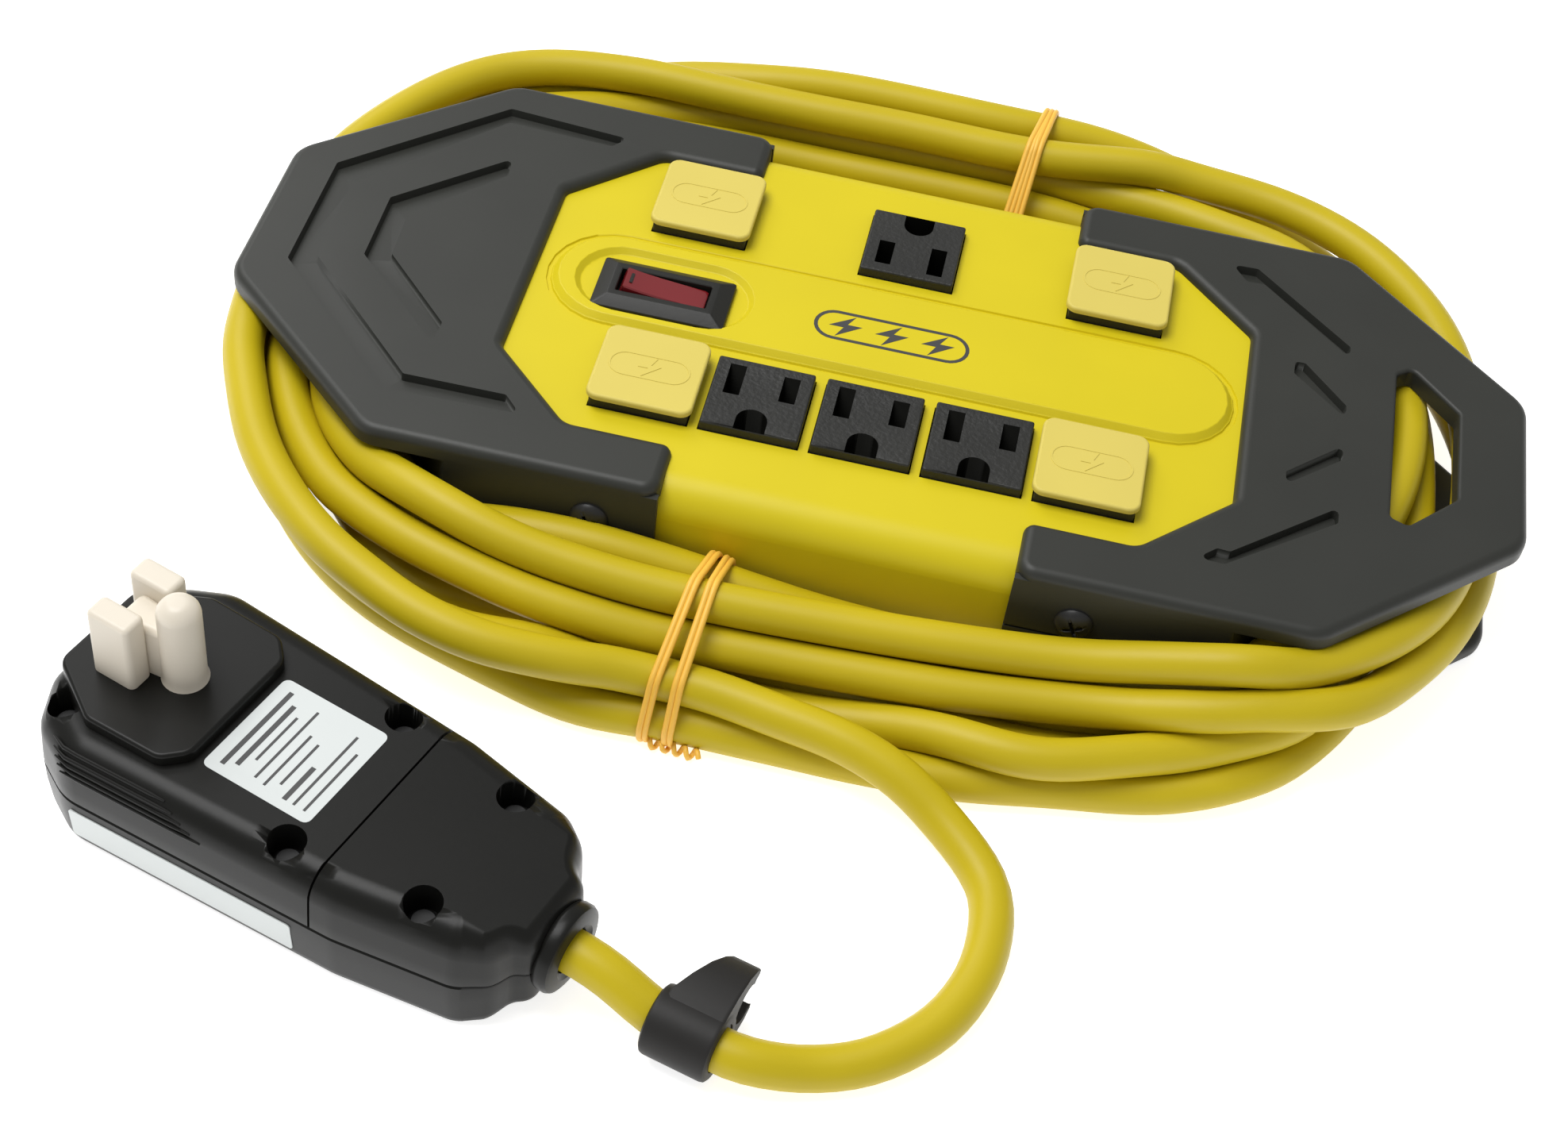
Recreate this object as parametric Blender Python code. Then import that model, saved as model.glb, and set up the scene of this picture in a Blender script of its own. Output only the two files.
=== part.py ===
"""Eight-outlet safety power strip with a wound cord, an in-line ground-fault plug and a cord clip.

Lengths are written in millimetres and scaled to metres when a mesh is made. The origin is the
centre of the strip's footprint on the surface it lies on; +X runs along the strip towards the
carrying handle, +Y away from the cord tail, and +Z up.
"""

import math

import bmesh
import bpy
from mathutils import Matrix, Vector

MM = 0.001

# Strip body
HEIGHT = 38.0                # outlet faces and black end plates
HALF_LENGTH = 150.5          # tips of the flanges
HALF_WIDTH = 64.3            # outer faces of the side skirts
CORNER_X = 106.5             # where the slanted flange corners start
CORNER_Y = 23.5              # where they end on the short sides
ARM_END_X = 39.6             # inner ends of the black arms
FLANGE = 5.0                 # flange thickness
PLATE = 2.2                  # black plate over the steel housing
SEAM_Z = 20.0                # joint line between upper and lower end pieces
SKIRT = 1.7                  # skirt and core wall thickness
CORE_X = 106.0               # end wall the cord winds round
CORE_SIDE_X = 88.0
CORE_SLANT_Y = 42.0

# Steel housing
SHELL_HALF_X = 86.8
SHELL_HALF_Y = 62.3
SHELL_TOP = 35.5
SHELL_FILLET = 8.0
SHEET = 1.0

# Outlets, 5-15R pattern
PITCH = 25.4
OUTLET_SHIFT = 0.8
ROW_FRONT_Y = -29.05
ROW_REAR_Y = 33.55
INSERT_X = 22.6
INSERT_Y = 22.5
SLOT_ROW = 4.2               # slot line from the insert's centre
SLOT_X = 6.35
GROUND_DROP = 11.9
CAP_SIZE = 24.4

# Switch
SWITCH_X = -53.3
SWITCH_Y = -0.2
ROCKER_Z = 35.0
ROCKER_R = 10.5

# Handle
HANDLE = ((119.3, 24.4), (122.8, 27.2), (134.2, 15.1), (134.2, -13.6), (123.4, -25.2), (119.3, -23.6))

# Cord
CORD_R = 4.75
GAP = 0.3

# Plug: lies on its face with the blades up
PLUG_X = -55.3
PLUG_Y = -159.1
PLUG_YAW = math.radians(-19.5)
PLUG_END = -93.8             # far end from the cord
COVER_SEAM = -19.0           # joint between upper shell and wiring cover
NECK = 25.4                  # end the cord enters
PLUG_SEAM = 14.0
PLUG_TOP = 29.0
PAD_TOP = 32.0
CORD_AXIS_Z = 14.15


def clear_scene():
    for item in list(bpy.data.objects):
        bpy.data.objects.remove(item, do_unlink=True)
    for mesh in list(bpy.data.meshes):
        bpy.data.meshes.remove(mesh)
    for mat in list(bpy.data.materials):
        bpy.data.materials.remove(mat)


def material(name, colour, roughness=0.5, metallic=0.0):
    mat = bpy.data.materials.new(name)
    mat.use_nodes = True
    shader = mat.node_tree.nodes["Principled BSDF"]
    shader.inputs["Base Color"].default_value = (*colour, 1.0)
    shader.inputs["Roughness"].default_value = roughness
    shader.inputs["Metallic"].default_value = metallic
    mat.diffuse_color = (*colour, 1.0)
    return mat


def finish(name, bm, look=None, smooth=False, angle=35.0):
    """Turn a bmesh in millimetres into a named object in metres."""
    bmesh.ops.recalc_face_normals(bm, faces=bm.faces)
    bmesh.ops.scale(bm, vec=(MM, MM, MM), verts=bm.verts)
    mesh = bpy.data.meshes.new(name)
    bm.to_mesh(mesh)
    bm.free()
    item = bpy.data.objects.new(name, mesh)
    bpy.context.scene.collection.objects.link(item)
    if look is not None:
        mesh.materials.append(material(name, *look))
    if smooth:
        mesh.shade_smooth()
        mesh.set_sharp_from_angle(angle=math.radians(angle))
    return item


def loft(bm, rings):
    """Closed solid through rings of equal point count; each ring is a list of xyz."""
    loops = [[bm.verts.new(p) for p in ring] for ring in rings]
    count = len(loops[0])
    for low, high in zip(loops, loops[1:]):
        for i in range(count):
            j = (i + 1) % count
            bm.faces.new((low[i], low[j], high[j], high[i]))
    bm.faces.new(list(reversed(loops[0])))
    bm.faces.new(loops[-1])


def prism(bm, outline, z0, z1):
    loft(bm, [[(x, y, z0) for x, y in outline], [(x, y, z1) for x, y in outline]])


def box(bm, x0, x1, y0, y1, z0, z1):
    prism(bm, ((x0, y0), (x1, y0), (x1, y1), (x0, y1)), z0, z1)


def circle(cx, cy, r, count=20, start=0.0):
    step = 2.0 * math.pi / count
    return [(cx + r * math.cos(start + i * step), cy + r * math.sin(start + i * step)) for i in range(count)]


def rounded(x0, x1, y0, y1, r, steps=3):
    points = []
    corners = ((x1 - r, y0 + r, -90), (x1 - r, y1 - r, 0), (x0 + r, y1 - r, 90), (x0 + r, y0 + r, 180))
    for cx, cy, a0 in corners:
        for i in range(steps + 1):
            a = math.radians(a0 + 90.0 * i / steps)
            points.append((cx + r * math.cos(a), cy + r * math.sin(a)))
    return points


def boolean(target, tool, operation):
    tool.hide_render = True
    tool.display_type = "WIRE"
    mod = target.modifiers.new(operation.lower(), "BOOLEAN")
    mod.operation = operation
    mod.solver = "EXACT"
    mod.object = tool


def cut(target, bm, name):
    boolean(target, finish(name, bm), "DIFFERENCE")


def add(target, bm, name):
    boolean(target, finish(name, bm), "UNION")


def mirror(points, side):
    """Mirror an outline to the given side (+1 right, -1 left), keeping its winding."""
    if side > 0:
        return list(points)
    return [(-x, y) for x, y in reversed(points)]


# ---- black end pieces ------------------------------------------------------------------------

BLACK = ((0.028, 0.029, 0.027), 0.42)

PLATE_OUTLINE = (
    (ARM_END_X, -HALF_WIDTH), (CORNER_X, -HALF_WIDTH), (HALF_LENGTH, -CORNER_Y), (HALF_LENGTH, CORNER_Y),
    (CORNER_X, HALF_WIDTH), (ARM_END_X, HALF_WIDTH), (ARM_END_X, 48.6), (64.4, 48.6), (84.3, 28.6),
    (84.3, -28.6), (64.4, -48.6), (ARM_END_X, -48.6),
)
FLANGE_OUTLINE = (
    (88.4, -HALF_WIDTH), (CORNER_X, -HALF_WIDTH), (HALF_LENGTH, -CORNER_Y), (HALF_LENGTH, CORNER_Y),
    (CORNER_X, HALF_WIDTH), (88.4, HALF_WIDTH),
)
CORE_OUTER = (
    (ARM_END_X, -HALF_WIDTH), (CORE_SIDE_X, -HALF_WIDTH), (CORE_X, -CORE_SLANT_Y), (CORE_X, CORE_SLANT_Y),
    (CORE_SIDE_X, HALF_WIDTH), (ARM_END_X, HALF_WIDTH),
)
CORE_INNER = (
    (ARM_END_X, HALF_WIDTH - SKIRT), (CORE_SIDE_X - 0.8, HALF_WIDTH - SKIRT),
    (CORE_X - SKIRT, CORE_SLANT_Y - 0.7), (CORE_X - SKIRT, -CORE_SLANT_Y + 0.7),
    (CORE_SIDE_X - 0.8, -HALF_WIDTH + SKIRT), (ARM_END_X, -HALF_WIDTH + SKIRT),
)
CORE_WALL = CORE_OUTER + CORE_INNER
GLAND_Z = 19.85


def gland_hole(side, piece):
    """The cord passes through the left core wall where the two halves meet."""
    if side > 0:
        return
    bm = bmesh.new()
    ring = circle(0.0, GLAND_Z, 6.9, 24)
    loft(bm, [[(-112.0, a, b) for a, b in ring], [(-98.0, a, b) for a, b in ring]])
    cut(piece, bm, piece.name + "_gland_cut")


def end_cap(name, side):
    bm = bmesh.new()
    prism(bm, mirror(PLATE_OUTLINE, side), HEIGHT - PLATE, HEIGHT)
    piece = finish(name, bm, BLACK)
    bm = bmesh.new()
    prism(bm, mirror(FLANGE_OUTLINE, side), HEIGHT - FLANGE, HEIGHT - 1.0)
    add(piece, bm, name + "_flange")
    bm = bmesh.new()
    prism(bm, mirror(CORE_WALL, side), SEAM_Z, HEIGHT - 0.7)
    add(piece, bm, name + "_wall")
    if side > 0:
        bm = bmesh.new()
        prism(bm, list(reversed(HANDLE)), 30.0, 41.0)
        cut(piece, bm, name + "_handle_cut")
    gland_hole(side, piece)
    return piece


def lower_flange(name, side):
    bm = bmesh.new()
    prism(bm, mirror(FLANGE_OUTLINE, side), 0.0, FLANGE)
    piece = finish(name, bm, BLACK)
    bm = bmesh.new()
    prism(bm, mirror(CORE_WALL, side), 0.0, SEAM_Z - GAP)
    add(piece, bm, name + "_wall")
    gland_hole(side, piece)
    return piece


# ---- steel housing ---------------------------------------------------------------------------

YELLOW = ((0.78, 0.66, 0.035), 0.4)


def shell_profile(inset):
    half = SHELL_HALF_Y - inset
    top = SHELL_TOP - inset
    r = SHELL_FILLET - inset
    points = [(-half, 1.3 - 3.0 * inset)]
    for i in range(5):
        a = math.radians(180.0 - 22.5 * i)
        points.append((-half + r + r * math.cos(a), top - r + r * math.sin(a)))
    for i in range(5):
        a = math.radians(90.0 - 22.5 * i)
        points.append((half - r + r * math.cos(a), top - r + r * math.sin(a)))
    points.append((half, 1.3 - 3.0 * inset))
    return points


def stadium(x0, x1, yc, half):
    points = []
    for cx, a0 in ((x1 - half, -90), (x0 + half, 90)):
        for i in range(7):
            a = math.radians(a0 + 30.0 * i)
            points.append((cx + half * math.cos(a), yc + half * math.sin(a)))
    return points


def outlet_places():
    places = [("front", i + 1, OUTLET_SHIFT + (i - 2) * PITCH, ROW_FRONT_Y, 1) for i in range(5)]
    places += [("rear", i + 1, OUTLET_SHIFT + (i - 1) * 2 * PITCH, ROW_REAR_Y, -1) for i in range(3)]
    return places


def housing():
    bm = bmesh.new()
    outer = shell_profile(0.0)
    loft(bm, [[(-SHELL_HALF_X, a, b) for a, b in outer], [(SHELL_HALF_X, a, b) for a, b in outer]])
    shell = finish("housing_shell", bm, YELLOW)
    bm = bmesh.new()
    prism(bm, stadium(-78.0, 81.0, 3.0, 15.2), SHELL_TOP - 0.6, SHELL_TOP + 1.0)
    add(shell, bm, "housing_plateau")
    bm = bmesh.new()
    inner = shell_profile(SHEET)
    reach = SHELL_HALF_X - SHEET
    loft(bm, [[(-reach, a, b) for a, b in inner], [(reach, a, b) for a, b in inner]])
    cut(shell, bm, "housing_cavity")
    bm = bmesh.new()
    for _, _, x, y, _ in outlet_places():
        box(bm, x - 11.6, x + 11.6, y - 11.55, y + 11.55, 30.0, 42.0)
    box(bm, SWITCH_X - 14.2, SWITCH_X + 14.2, SWITCH_Y - 6.6, SWITCH_Y + 6.6, 30.0, 42.0)
    cut(shell, bm, "housing_windows")
    bm = bmesh.new()
    prism(bm, stadium(-75.5, -32.3, SWITCH_Y + 0.6, 11.4), SHELL_TOP + 0.1, 42.0)
    cut(shell, bm, "housing_recess")
    bm = bmesh.new()
    ring = circle(0.0, GLAND_Z, 6.0, 20)
    loft(bm, [[(-92.0, a, b) for a, b in ring], [(-84.0, a, b) for a, b in ring]])
    cut(shell, bm, "housing_cord_hole")


def base_plate():
    bm = bmesh.new()
    box(bm, -SHELL_HALF_X, SHELL_HALF_X, -SHELL_HALF_Y, SHELL_HALF_Y, 0.0, 1.0)
    finish("base_plate", bm, ((0.75, 0.64, 0.04), 0.45))


def side_screw(name, x, side):
    bm = bmesh.new()
    face = side * (HALF_WIDTH + GAP)
    rings = []
    for r, out in ((4.0, 0.0), (3.9, 0.8), (3.1, 1.7), (1.6, 2.2)):
        rings.append([(a, face + side * out, b) for a, b in circle(x, 25.3, r, 20)])
    loft(bm, rings)
    finish(name, bm, ((0.05, 0.05, 0.05), 0.3, 0.8), smooth=True)


# ---- outlets, caps and bus bars --------------------------------------------------------------

def ground_outline(x, y, turn, grow=0.0):
    """Ground opening: flat side away from the blades, round side towards them."""
    r = 3.6 + grow
    flat = 3.45 + grow
    points = [(-r, -flat), (r, -flat)]
    for i in range(9):
        a = math.radians(22.5 * i)
        points.append((r * math.cos(a), -0.15 + r * math.sin(a)))
    return [(x + turn * a, y + turn * b) for a, b in points]


def outlet(row, number, x, y, turn):
    bm = bmesh.new()
    hx = INSERT_X / 2.0
    hy = INSERT_Y / 2.0
    rings = []
    levels = ((1.6, 22.0), (0.2, 23.5), (0.2, SHELL_TOP), (0.0, SHELL_TOP + 0.3), (0.0, 37.3), (0.7, HEIGHT))
    for inset, z in levels:
        shape = ((x - hx + inset, y - hy + inset), (x + hx - inset, y - hy + inset),
                 (x + hx - inset, y + hy - inset), (x - hx + inset, y + hy - inset))
        rings.append([(a, b, z) for a, b in shape])
    loft(bm, rings)
    item = finish(f"outlet_{row}_{number}", bm, ((0.085, 0.085, 0.08), 0.55))
    bm = bmesh.new()
    line = y + turn * SLOT_ROW
    for dx, half in ((-SLOT_X, 4.9), (SLOT_X, 4.15)):
        sx = x + turn * dx
        box(bm, sx - 1.9, sx + 1.9, line - half, line + half, 26.0, 41.0)
    prism(bm, ground_outline(x, line - turn * GROUND_DROP, turn), 26.0, 41.0)
    cut(item, bm, item.name + "_openings")


def outlet_cap(name, x, y, turn):
    bm = bmesh.new()
    half = CAP_SIZE / 2.0
    prism(bm, rounded(x - half, x + half, y - half, y + half, 2.6), HEIGHT + GAP, HEIGHT + 1.8)
    cap = finish(name, bm, ((0.66, 0.55, 0.13), 0.45))
    bm = bmesh.new()
    line = y + turn * SLOT_ROW
    for dx, depth in ((-SLOT_X, 3.4), (SLOT_X, 3.4)):
        sx = x + turn * dx
        box(bm, sx - 1.1, sx + 1.1, line - depth, line + depth, 29.0, HEIGHT + 1.0)
    prism(bm, circle(x, line - turn * GROUND_DROP, 2.7, 14), 31.0, HEIGHT + 1.0)
    add(cap, bm, name + "_prongs")


def bus_bars():
    brass = ((0.62, 0.45, 0.17), 0.35, 1.0)
    for row, y, turn in (("front", ROW_FRONT_Y, 1), ("rear", ROW_REAR_Y, -1)):
        for label, dy in (("neutral", 7.0), ("line", 2.5), ("ground", -7.7)):
            bm = bmesh.new()
            yc = y + turn * dy
            box(bm, -60.0, 62.0, yc - 1.6, yc + 1.6, 20.6, 21.6)
            finish(f"bus_{label}_{row}", bm, brass)


# ---- switch ----------------------------------------------------------------------------------

def rocker_end(angle):
    a = math.radians(angle)
    return (ROCKER_R * math.cos(a), ROCKER_R * math.sin(a))


def switch():
    bm = bmesh.new()
    rings = []
    corners = ((-1, -1), (1, -1), (1, 1), (-1, 1))
    levels = ((13.9, 6.3, 33.6), (13.9, 6.3, 35.8), (15.7, 8.3, 35.9), (15.7, 8.3, 36.6), (13.0, 5.9, 38.3))
    for hx, hy, z in levels:
        rings.append([(SWITCH_X + a * hx, SWITCH_Y + b * hy, z) for a, b in corners])
    loft(bm, rings)
    bezel = finish("switch_bezel", bm, ((0.03, 0.03, 0.03), 0.35))
    bm = bmesh.new()
    box(bm, SWITCH_X - 10.9, SWITCH_X + 10.9, SWITCH_Y - 3.9, SWITCH_Y + 3.9, 30.0, 42.0)
    cut(bezel, bm, "switch_bezel_window")

    # The rocker's ends are arcs about its pivot, so it clears the bezel at every angle.
    profile = [rocker_end(a) for a in (205, 190, 178, 166, 154.6)]
    profile.append((-1.0, 3.0))
    profile += [rocker_end(a) for a in (9, -3, -14, -25)]
    bm = bmesh.new()
    loft(bm, [[(a, -3.5, b) for a, b in profile], [(a, 3.5, b) for a, b in profile]])
    rocker = finish("switch_rocker", bm, ((0.28, 0.012, 0.02), 0.2))
    rocker.location = Vector((SWITCH_X, SWITCH_Y, ROCKER_Z)) * MM

    bm = bmesh.new()
    box(bm, SWITCH_X - 13.0, SWITCH_X + 13.0, SWITCH_Y - 6.0, SWITCH_Y + 6.0, 10.0, 26.0)
    finish("switch_body", bm, ((0.04, 0.04, 0.04), 0.5))


# ---- cord, bands and clip --------------------------------------------------------------------

CORD_LOOK = ((0.66, 0.54, 0.03), 0.5)

# Stations round the wound cord: inner point, outer point, underside height, top height.
COIL = (
    ((-44, -67.6), (-50, -104), 2.6, 24), ((-24, -67.6), (-26, -104), 2.6, 24),
    ((-4, -67.6), (-2, -103), 2.6, 24), ((30, -67.6), (34, -99), 0.3, 24),
    ((66, -67.6), (76, -93), 0.3, 25), ((86, -67.6), (100, -83), 5.4, 28),
    ((104, -52), (124, -63), 5.4, 32), ((110, -38), (139, -43), 5.4, 32),
    ((110, 0), (148, 0), 5.4, 32), ((110, 38), (137, 46), 5.4, 32),
    ((104, 52), (124, 68), 5.4, 32), ((86, 67.6), (98, 86), 5.4, 32),
    ((68, 67.6), (74, 94), 2.6, 31), ((44, 67.6), (47, 99), 2.6, 31),
    ((24, 67.6), (25, 101), 2.6, 31), ((0, 67.6), (0, 102), 2.6, 31),
    ((-40, 67.6), (-44, 100), 0.3, 32), ((-68, 67.6), (-76, 95), 0.3, 32),
    ((-86, 67.6), (-100, 86), 5.4, 32), ((-104, 52), (-124, 67), 5.4, 32),
    ((-110, 38), (-141, 42), 5.4, 32), ((-110, 0), (-151, -4), 5.4, 32),
    ((-110, -38), (-144, -47), 5.4, 32), ((-104, -52), (-122, -76), 5.4, 30),
    ((-86, -67.6), (-98, -93), 5.4, 28), ((-68, -67.6), (-76, -100), 0.3, 25),
)


def coil_section(inner, outer, z0, z1, grow=0.0):
    """Eight-sided section between the inner and outer points of one station."""
    a = Vector((inner[0], inner[1], 0.0))
    b = Vector((outer[0], outer[1], 0.0))
    way = (b - a).normalized()
    a -= way * grow
    b += way * grow
    low = z0 - grow
    high = z1 + grow
    c = 4.0
    section = ((a, low + c), (a, high - c), (a + way * c, high), (b - way * c * 1.6, high),
               (b, high - c * 2.0), (b, low + c), (b - way * c, low), (a + way * c, low))
    return [(p.x, p.y, z) for p, z in section]


def cord_coil():
    bm = bmesh.new()
    loops = [[bm.verts.new(p) for p in coil_section(*station)] for station in COIL]
    count = len(loops)
    for i in range(count):
        first = loops[i]
        second = loops[(i + 1) % count]
        for j in range(8):
            k = (j + 1) % 8
            bm.faces.new((first[j], first[k], second[k], second[j]))
    finish("cord_coil", bm, CORD_LOOK, smooth=True, angle=50)


def tube(name, points, radius, look, resolution=3, cyclic=False):
    curve = bpy.data.curves.new(name, "CURVE")
    curve.dimensions = "3D"
    curve.bevel_depth = radius * MM
    curve.bevel_resolution = resolution
    curve.use_fill_caps = not cyclic
    spline = curve.splines.new("POLY")
    spline.points.add(len(points) - 1)
    for point, co in zip(spline.points, points):
        point.co = (co[0] * MM, co[1] * MM, co[2] * MM, 1.0)
    spline.use_cyclic_u = cyclic
    spline.use_smooth = True
    item = bpy.data.objects.new(name, curve)
    bpy.context.scene.collection.objects.link(item)
    curve.materials.append(material(name, *look))
    return item


def smooth_path(points, step):
    """Catmull-Rom curve through the points, resampled at an even step."""
    pts = [Vector(p) for p in points]
    pts = [pts[0] * 2 - pts[1]] + pts + [pts[-1] * 2 - pts[-2]]
    dense = []
    for p0, p1, p2, p3 in zip(pts, pts[1:], pts[2:], pts[3:]):
        for i in range(24):
            t = i / 24.0
            dense.append(0.5 * ((2 * p1) + (p2 - p0) * t + (2 * p0 - 5 * p1 + 4 * p2 - p3) * t * t
                                + (3 * p1 - p0 - 3 * p2 + p3) * t ** 3))
    dense.append(pts[-2])
    out = [dense[0]]
    run = 0.0
    for a, b in zip(dense, dense[1:]):
        run += (b - a).length
        if run >= step:
            out.append(b)
            run = 0.0
    if (out[-1] - dense[-1]).length < step * 0.5:
        out.pop()
    out.append(dense[-1])
    return [tuple(p) for p in out]


def plug_point(u, v, z):
    """World point for plug coordinates: u towards its cord, v across, z up."""
    c = math.cos(PLUG_YAW)
    s = math.sin(PLUG_YAW)
    return (PLUG_X + u * c - v * s, PLUG_Y + u * s + v * c, z)


CLIP = Vector((-5.3, -175.9, 7.6))
CLIP_WAY = Vector((-0.967, 0.255, 0.0))


def cord_tail():
    a = CLIP - CLIP_WAY * 12.0
    b = CLIP + CLIP_WAY * 9.0
    route = [(27.5, -100.6, 7.5), (28.6, -106.5, 7.0), (33.5, -112.5, 6.0), (40.5, -118.5, 5.2),
             (46.0, -126.0, 5.1), (48.8, -135.0, 5.1), (48.6, -145.0, 5.1), (45.0, -155.0, 5.1),
             (38.5, -164.0, 5.2), (29.0, -171.5, 5.6), (18.0, -176.4, 6.5),
             tuple(a), tuple(CLIP), tuple(b),
             plug_point(37.0, 0.2, CORD_AXIS_Z - 1.0), plug_point(31.8, 0.0, CORD_AXIS_Z),
             plug_point(26.0, 0.0, CORD_AXIS_Z)]
    tube("cord_tail", smooth_path(route, 4.5), CORD_R, CORD_LOOK, 3)


def cord_gland():
    bm = bmesh.new()
    rings = []
    profile = ((-109.6, 5.1), (-109.6, 8.2), (-107.6, 8.8), (-106.4, 8.8), (-106.4, 6.6), (-101.0, 6.6),
               (-101.0, 5.1))
    for x, r in profile:
        rings.append([(x, a, b) for a, b in circle(0.0, GLAND_Z, r, 24)])
    loops = [[bm.verts.new(p) for p in ring] for ring in rings]
    for i in range(len(loops)):
        first = loops[i]
        second = loops[(i + 1) % len(loops)]
        for j in range(24):
            k = (j + 1) % 24
            bm.faces.new((first[j], first[k], second[k], second[j]))
    finish("cord_gland", bm, BLACK, smooth=True)


def band(name, station, look):
    """Rubber band round all strands of the wound cord."""
    path = coil_section(*station, grow=1.15)
    tube(name, path, 0.8, look, 1, cyclic=True)


def cord_clip():
    """Split sleeve on the cord with an open hook that snaps on to another strand."""
    way = CLIP_WAY
    side = Vector((-way.y, way.x, 0.0))
    up = Vector((0.0, 0.0, 1.0))
    bm = bmesh.new()
    section = []
    for i in range(17):
        a = math.radians(-60.0 + 20.0 * i) + math.radians(10.0)
        section.append((7.15 * math.cos(a), 7.15 * math.sin(a)))
    for i in range(17):
        a = math.radians(260.0 - 20.0 * i) + math.radians(10.0)
        section.append((5.15 * math.cos(a), 5.15 * math.sin(a)))
    rings = []
    for run in (-7.0, 7.0):
        rings.append([tuple(CLIP + way * run + side * (-p) + up * q) for p, q in section])
    loft(bm, rings)
    clip = finish("cord_clip", bm, ((0.045, 0.045, 0.042), 0.4))
    # Hook: a C beside the sleeve, open away from it, narrower at its tip.
    outline = [(5.6, 4.9), (8.0, 8.3), (12.5, 7.7), (17.4, 4.6), (15.8, 3.2)]
    for i in range(9):
        a = math.radians(38.0 + 250.0 * i / 8.0)
        outline.append((11.6 + 4.6 * math.cos(a), -0.2 + 4.6 * math.sin(a)))
    outline += [(14.4, -5.6), (12.0, -6.6), (6.5, -6.7), (5.6, -4.4)]
    away = -side
    near_end = []
    far_end = []
    for n, z in outline:
        reach = 5.6 - max(n - 3.0, 0.0) * 0.42
        near_end.append(tuple(CLIP + away * n - way * 7.0 + up * z))
        far_end.append(tuple(CLIP + away * n + way * reach + up * z))
    bm = bmesh.new()
    loft(bm, [near_end, far_end])
    add(clip, bm, "cord_clip_hook")


# ---- plug ------------------------------------------------------------------------------------

PLUG_BLACK = ((0.012, 0.012, 0.012), 0.22)


def body_outline(inset):
    """Plug outline, drawn in by inset; the narrow neck keeps its width."""
    end = PLUG_END + inset
    side = 27.5 - inset
    hip = 24.8 - inset
    half = [(end, 12.0 - inset * 0.5), (end + 5.5, 22.0 - inset * 0.8), (-78.0, side), (COVER_SEAM, hip),
            (12.0, 20.2 - inset), (18.0, 16.5 - inset), (21.0, 11.0 - inset * 0.3), (NECK, 9.0)]
    return [(u, -v) for u, v in half] + list(reversed(half))


def upper_outline(inset):
    """The part of the plug outline left of the cover's seam."""
    body = body_outline(inset)
    return [(COVER_SEAM - 0.2, y) if x == COVER_SEAM else (x, y) for x, y in body[:4] + body[12:]]


def cover_outline(inset):
    """The part of the plug outline right of the cover's seam."""
    body = body_outline(inset)
    return [(COVER_SEAM + 0.2, y) if x == COVER_SEAM else (x, y) for x, y in body[3:13]]


def place_plug(item):
    item.location = Vector((PLUG_X, PLUG_Y, 0.0)) * MM
    item.rotation_euler = (0.0, 0.0, PLUG_YAW)
    return item


def plug_loft(name, outline, levels, look, **kw):
    bm = bmesh.new()
    loft(bm, [[(u, v, z) for u, v in outline(inset)] for inset, z in levels])
    return place_plug(finish(name, bm, look, **kw))


def plug_cut(target, bm, name):
    tool = place_plug(finish(name, bm))
    boolean(target, tool, "DIFFERENCE")


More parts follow.
